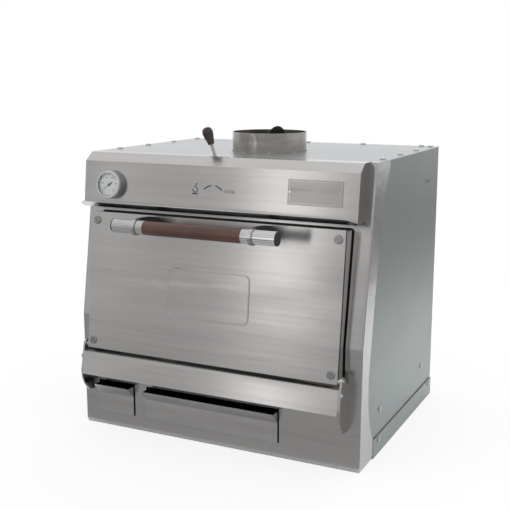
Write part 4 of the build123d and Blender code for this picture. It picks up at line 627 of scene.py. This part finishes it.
def borders(metal):
    frame_line = round_frame((0, BADGE_UP), BADGE_HALF, BADGE_R)

    def ridge(bm):
        strip(bm, frame_line, BADGE_RIDGE[0], DOOR_FOOT, BADGE_OUT, BADGE_RIDGE[1], BADGE_CROWN)
    piece("badge_ridge", ridge, "door", metal, False)

    def engraving(bm):
        line = round_frame(PLATE_AT, PLATE_HALF, PLATE_R)
        strip(bm, line, PLATE_LINE, HOOD_FACE, PLATE_OUT + PRINT_GAP, PRINT_DEPTH)
    piece("plate_engraving", engraving, "body", metal, False)


# Lever rod with a thread over its free length
THREAD_PITCH = 1.25
THREAD_SIDES = 20
THREAD_DEPTH = 0.55
RINGS_PER_PITCH = 4
ROD_R = 4.0
ROD_TILT = math.radians(19.8)


def threaded_rod(material):
    low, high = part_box("lever_rod")
    along = Vector((-math.sin(ROD_TILT), 0, math.cos(ROD_TILT)))
    across = Vector((math.cos(ROD_TILT), 0, math.sin(ROD_TILT)))
    depth = Vector((0, 1, 0))
    middle = (low + high) / 2
    length = ((high.z - low.z) / MM - 2 * ROD_R * math.sin(ROD_TILT)) / math.cos(ROD_TILT)

    def build(bm):
        steps = int(length / THREAD_PITCH * RINGS_PER_PITCH)
        rings = []
        for k in range(steps + 1):
            run = -length / 2 + length * k / steps
            ring = []
            for n in range(THREAD_SIDES):
                turn = 2 * math.pi * n / THREAD_SIDES
                wave = abs(((run / THREAD_PITCH - n / THREAD_SIDES) % 1.0) * 2 - 1)
                r = (ROD_R - THREAD_DEPTH * (1 - wave)) * MM
                spot = middle + along * run * MM + (across * math.cos(turn) + depth * math.sin(turn)) * r
                ring.append(bm.verts.new(spot))
            rings.append(ring)
        for a, b in zip(rings, rings[1:]):
            for n in range(THREAD_SIDES):
                bm.faces.new((a[n], a[(n + 1) % THREAD_SIDES], b[(n + 1) % THREAD_SIDES], b[n]))
        bm.faces.new(rings[0])
        bm.faces.new(rings[-1][::-1])
    rod = piece("threaded_rod", build, "damper", material, False)
    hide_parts("lever_rod")


# Tack welds around the foot of the flue spigot
WELDS = 9
FIRST_WELD = 0.35
WELD_HALF = (3.4, 1.5, 1.8)
RIPPLE = 0.12
RIPPLES = 9


def tack_welds(material):
    center = (FLUE_LOW + FLUE_HIGH) / 2
    radius = (FLUE_HIGH.x - FLUE_LOW.x) / 2

    def build(bm):
        for k in range(WELDS):
            turn = 2 * math.pi * (k + FIRST_WELD) / WELDS
            at = Vector((center.x + radius * math.cos(turn), center.y + radius * math.sin(turn), ROOF_Z))
            made = bmesh.ops.create_icosphere(bm, subdivisions=3, radius=1.0)["verts"]
            long, wide, high = (half * MM for half in WELD_HALF)
            turned = Matrix.Rotation(turn + math.pi / 2, 4, "Z")
            for vert in made:
                x, y, z = vert.co
                ripple = 1 + RIPPLE * math.sin(RIPPLES * x + 2 * k)
                vert.co = at + turned @ Vector((x * long, y * wide * ripple, max(z * high * ripple, 0.0)))
    piece("tack_welds", build, "body", material)


# Studio

def soft_light(name, center, aim, width, height, strength):
    """A soft light that no reflection shows."""
    data = bpy.data.lights.new(name, "AREA")
    data.shape = "RECTANGLE"
    data.size = width
    data.size_y = height
    data.energy = strength
    light = bpy.data.objects.new(name, data)
    light.location = center
    light.rotation_euler = (Vector(aim) - Vector(center)).to_track_quat("-Z", "Y").to_euler()
    light.visible_glossy = False
    bpy.context.scene.collection.objects.link(light)


# Grey that reflections show at each height from the horizon up
SKY_LEVELS = [(0.0, 0.48), (0.1, 0.50), (0.2, 0.62), (0.4, 0.84), (1.0, 0.95)]
SOFT_WHITE = (0.94, 0.95, 0.96)


def set_world():
    world = bpy.data.worlds.new("studio")
    bpy.context.scene.world = world
    world.use_nodes = True
    tree = world.node_tree
    tree.nodes.clear()
    g = Graph(world)
    path = g.add("ShaderNodeLightPath")
    coord = g.add("ShaderNodeTexCoord")
    split = g.add("ShaderNodeSeparateXYZ")
    g.link(coord.outputs["Generated"], split.inputs["Vector"])
    height = g.ramp(split.outputs["Z"], [(at, (level, level, level)) for at, level in SKY_LEVELS])
    background = g.add("ShaderNodeBackground")
    lamp = g.mix(path.outputs["Is Glossy Ray"], SOFT_WHITE, height)
    g.link(g.mix(g.seen(), lamp, (1.0, 1.0, 1.0)), background.inputs["Color"])
    output = g.add("ShaderNodeOutputWorld")
    g.link(background.outputs["Background"], output.inputs["Surface"])


# The floor glows by the first share near the oven, and by the second beyond the fade's end in metres
FLOOR_GLOW = (0.78, 1.0)
FLOOR_FADE = (0.8, 2.6)
FLOOR_COLOR = (0.93, 0.93, 0.93, 1)
FLOOR_HALF = 30.0
FLOOR_DROP = 0.0002


def set_floor():
    mesh = bpy.data.meshes.new("floor")
    bm = bmesh.new()
    bmesh.ops.create_grid(bm, x_segments=1, y_segments=1, size=FLOOR_HALF)
    bm.to_mesh(mesh)
    bm.free()
    floor = bpy.data.objects.new("floor", mesh)
    floor.location.z = -FLOOR_DROP
    bpy.context.scene.collection.objects.link(floor)
    material = new_material("floor")
    g = Graph(material)
    diffuse = g.add("ShaderNodeBsdfDiffuse")
    diffuse.inputs["Color"].default_value = FLOOR_COLOR
    glow = g.add("ShaderNodeEmission")
    glow.inputs["Color"].default_value = (1, 1, 1, 1)
    coord = g.add("ShaderNodeTexCoord")
    away = g.add("ShaderNodeVectorMath", operation="LENGTH")
    g.link(coord.outputs["Object"], away.inputs[0])
    glow_share = g.span(away.outputs["Value"], *FLOOR_GLOW)
    glow_share.node.inputs["From Min"].default_value = FLOOR_FADE[0]
    glow_share.node.inputs["From Max"].default_value = FLOOR_FADE[1]
    mixer = g.add("ShaderNodeMixShader")
    g.link(g.math("MULTIPLY", g.seen(), glow_share), mixer.inputs["Fac"])
    g.link(diffuse.outputs["BSDF"], mixer.inputs[1])
    g.link(glow.outputs["Emission"], mixer.inputs[2])
    output = g.add("ShaderNodeOutputMaterial")
    g.link(mixer.outputs["Shader"], output.inputs["Surface"])
    mesh.materials.append(material)


def grey_card(name, center, aim, width, height, level):
    """A dim card that only reflections see, to shade part of the steel."""
    mesh = bpy.data.meshes.new(name)
    bm = bmesh.new()
    bmesh.ops.create_grid(bm, x_segments=1, y_segments=1, size=0.5)
    bmesh.ops.scale(bm, vec=(width, height, 1), verts=bm.verts)
    bm.to_mesh(mesh)
    bm.free()
    card = bpy.data.objects.new(name, mesh)
    card.location = center
    card.rotation_euler = (Vector(aim) - Vector(center)).to_track_quat("-Z", "Y").to_euler()
    bpy.context.scene.collection.objects.link(card)
    material = new_material(name)
    g = Graph(material)
    glow = g.add("ShaderNodeEmission")
    glow.inputs["Color"].default_value = (level, level, level, 1)
    output = g.add("ShaderNodeOutputMaterial")
    g.link(glow.outputs["Emission"], output.inputs["Surface"])
    mesh.materials.append(material)
    card.visible_camera = False
    card.visible_shadow = False
    card.visible_diffuse = False
    card.visible_transmission = False


# Soft lights: centre, what they look at, width, height, watts
LIGHTS = {
    "key": ((-2.4, -2.8, 3.4), (0, 0, 0.4), 2.4, 2.4, 34),
    "fill_right": ((3.4, -1.2, 1.8), (0, 0, 0.3), 2.2, 2.2, 20),
    "back_top": ((0.3, 2.4, 3.0), (0, 0, 0.6), 2.4, 1.2, 22),
}

# Cards that shape the reflections: centre, what they look at, width, height, level
CARDS = {
    "band": ((-1.48, -4.1, 1.1), (0.1, -0.3, 0.4), 0.40, 3.8, 1.9),
    "band_faint": ((-2.62, -3.7, 1.1), (-0.1, -0.3, 0.4), 0.20, 3.8, 0.9),
    "dark_left": ((-3.3, -3.1, 1.1), (-0.1, -0.3, 0.4), 0.9, 3.8, 0.36),
    "dark_right": ((-0.75, -4.4, 1.1), (0.1, -0.3, 0.4), 0.7, 3.8, 0.44),
    "floor_far": ((-4.0, -15.6, 0.001), (-4.0, -15.6, 1.0), 44.0, 28.0, 0.50),
    "floor_near": ((-0.7, -1.15, 0.002), (-0.7, -1.15, 1.0), 5.0, 1.7, 0.36),
    "floor_right": ((2.9, 2.4, 0.001), (2.9, 2.4, 1.0), 4.0, 6.4, 0.22),
    "back_left": ((-2.0, 4.2, 1.2), (0, 0, 0.7), 4.6, 2.0, 0.98),
}


def set_lights():
    for name, values in LIGHTS.items():
        soft_light(name, *values)
    for name, values in CARDS.items():
        grey_card(name, *values)
    bpy.context.scene.view_settings.view_transform = "Standard"


set_camera()
set_world()
set_floor()
set_lights()
made = make_materials()
dress_nodes(made)
dial_marks(made["print_black"])
lever_marks(made["print_black"])
borders(made["brushed_stainless"])
threaded_rod(made["bright_steel"])
tack_welds(made["roof_steel"])
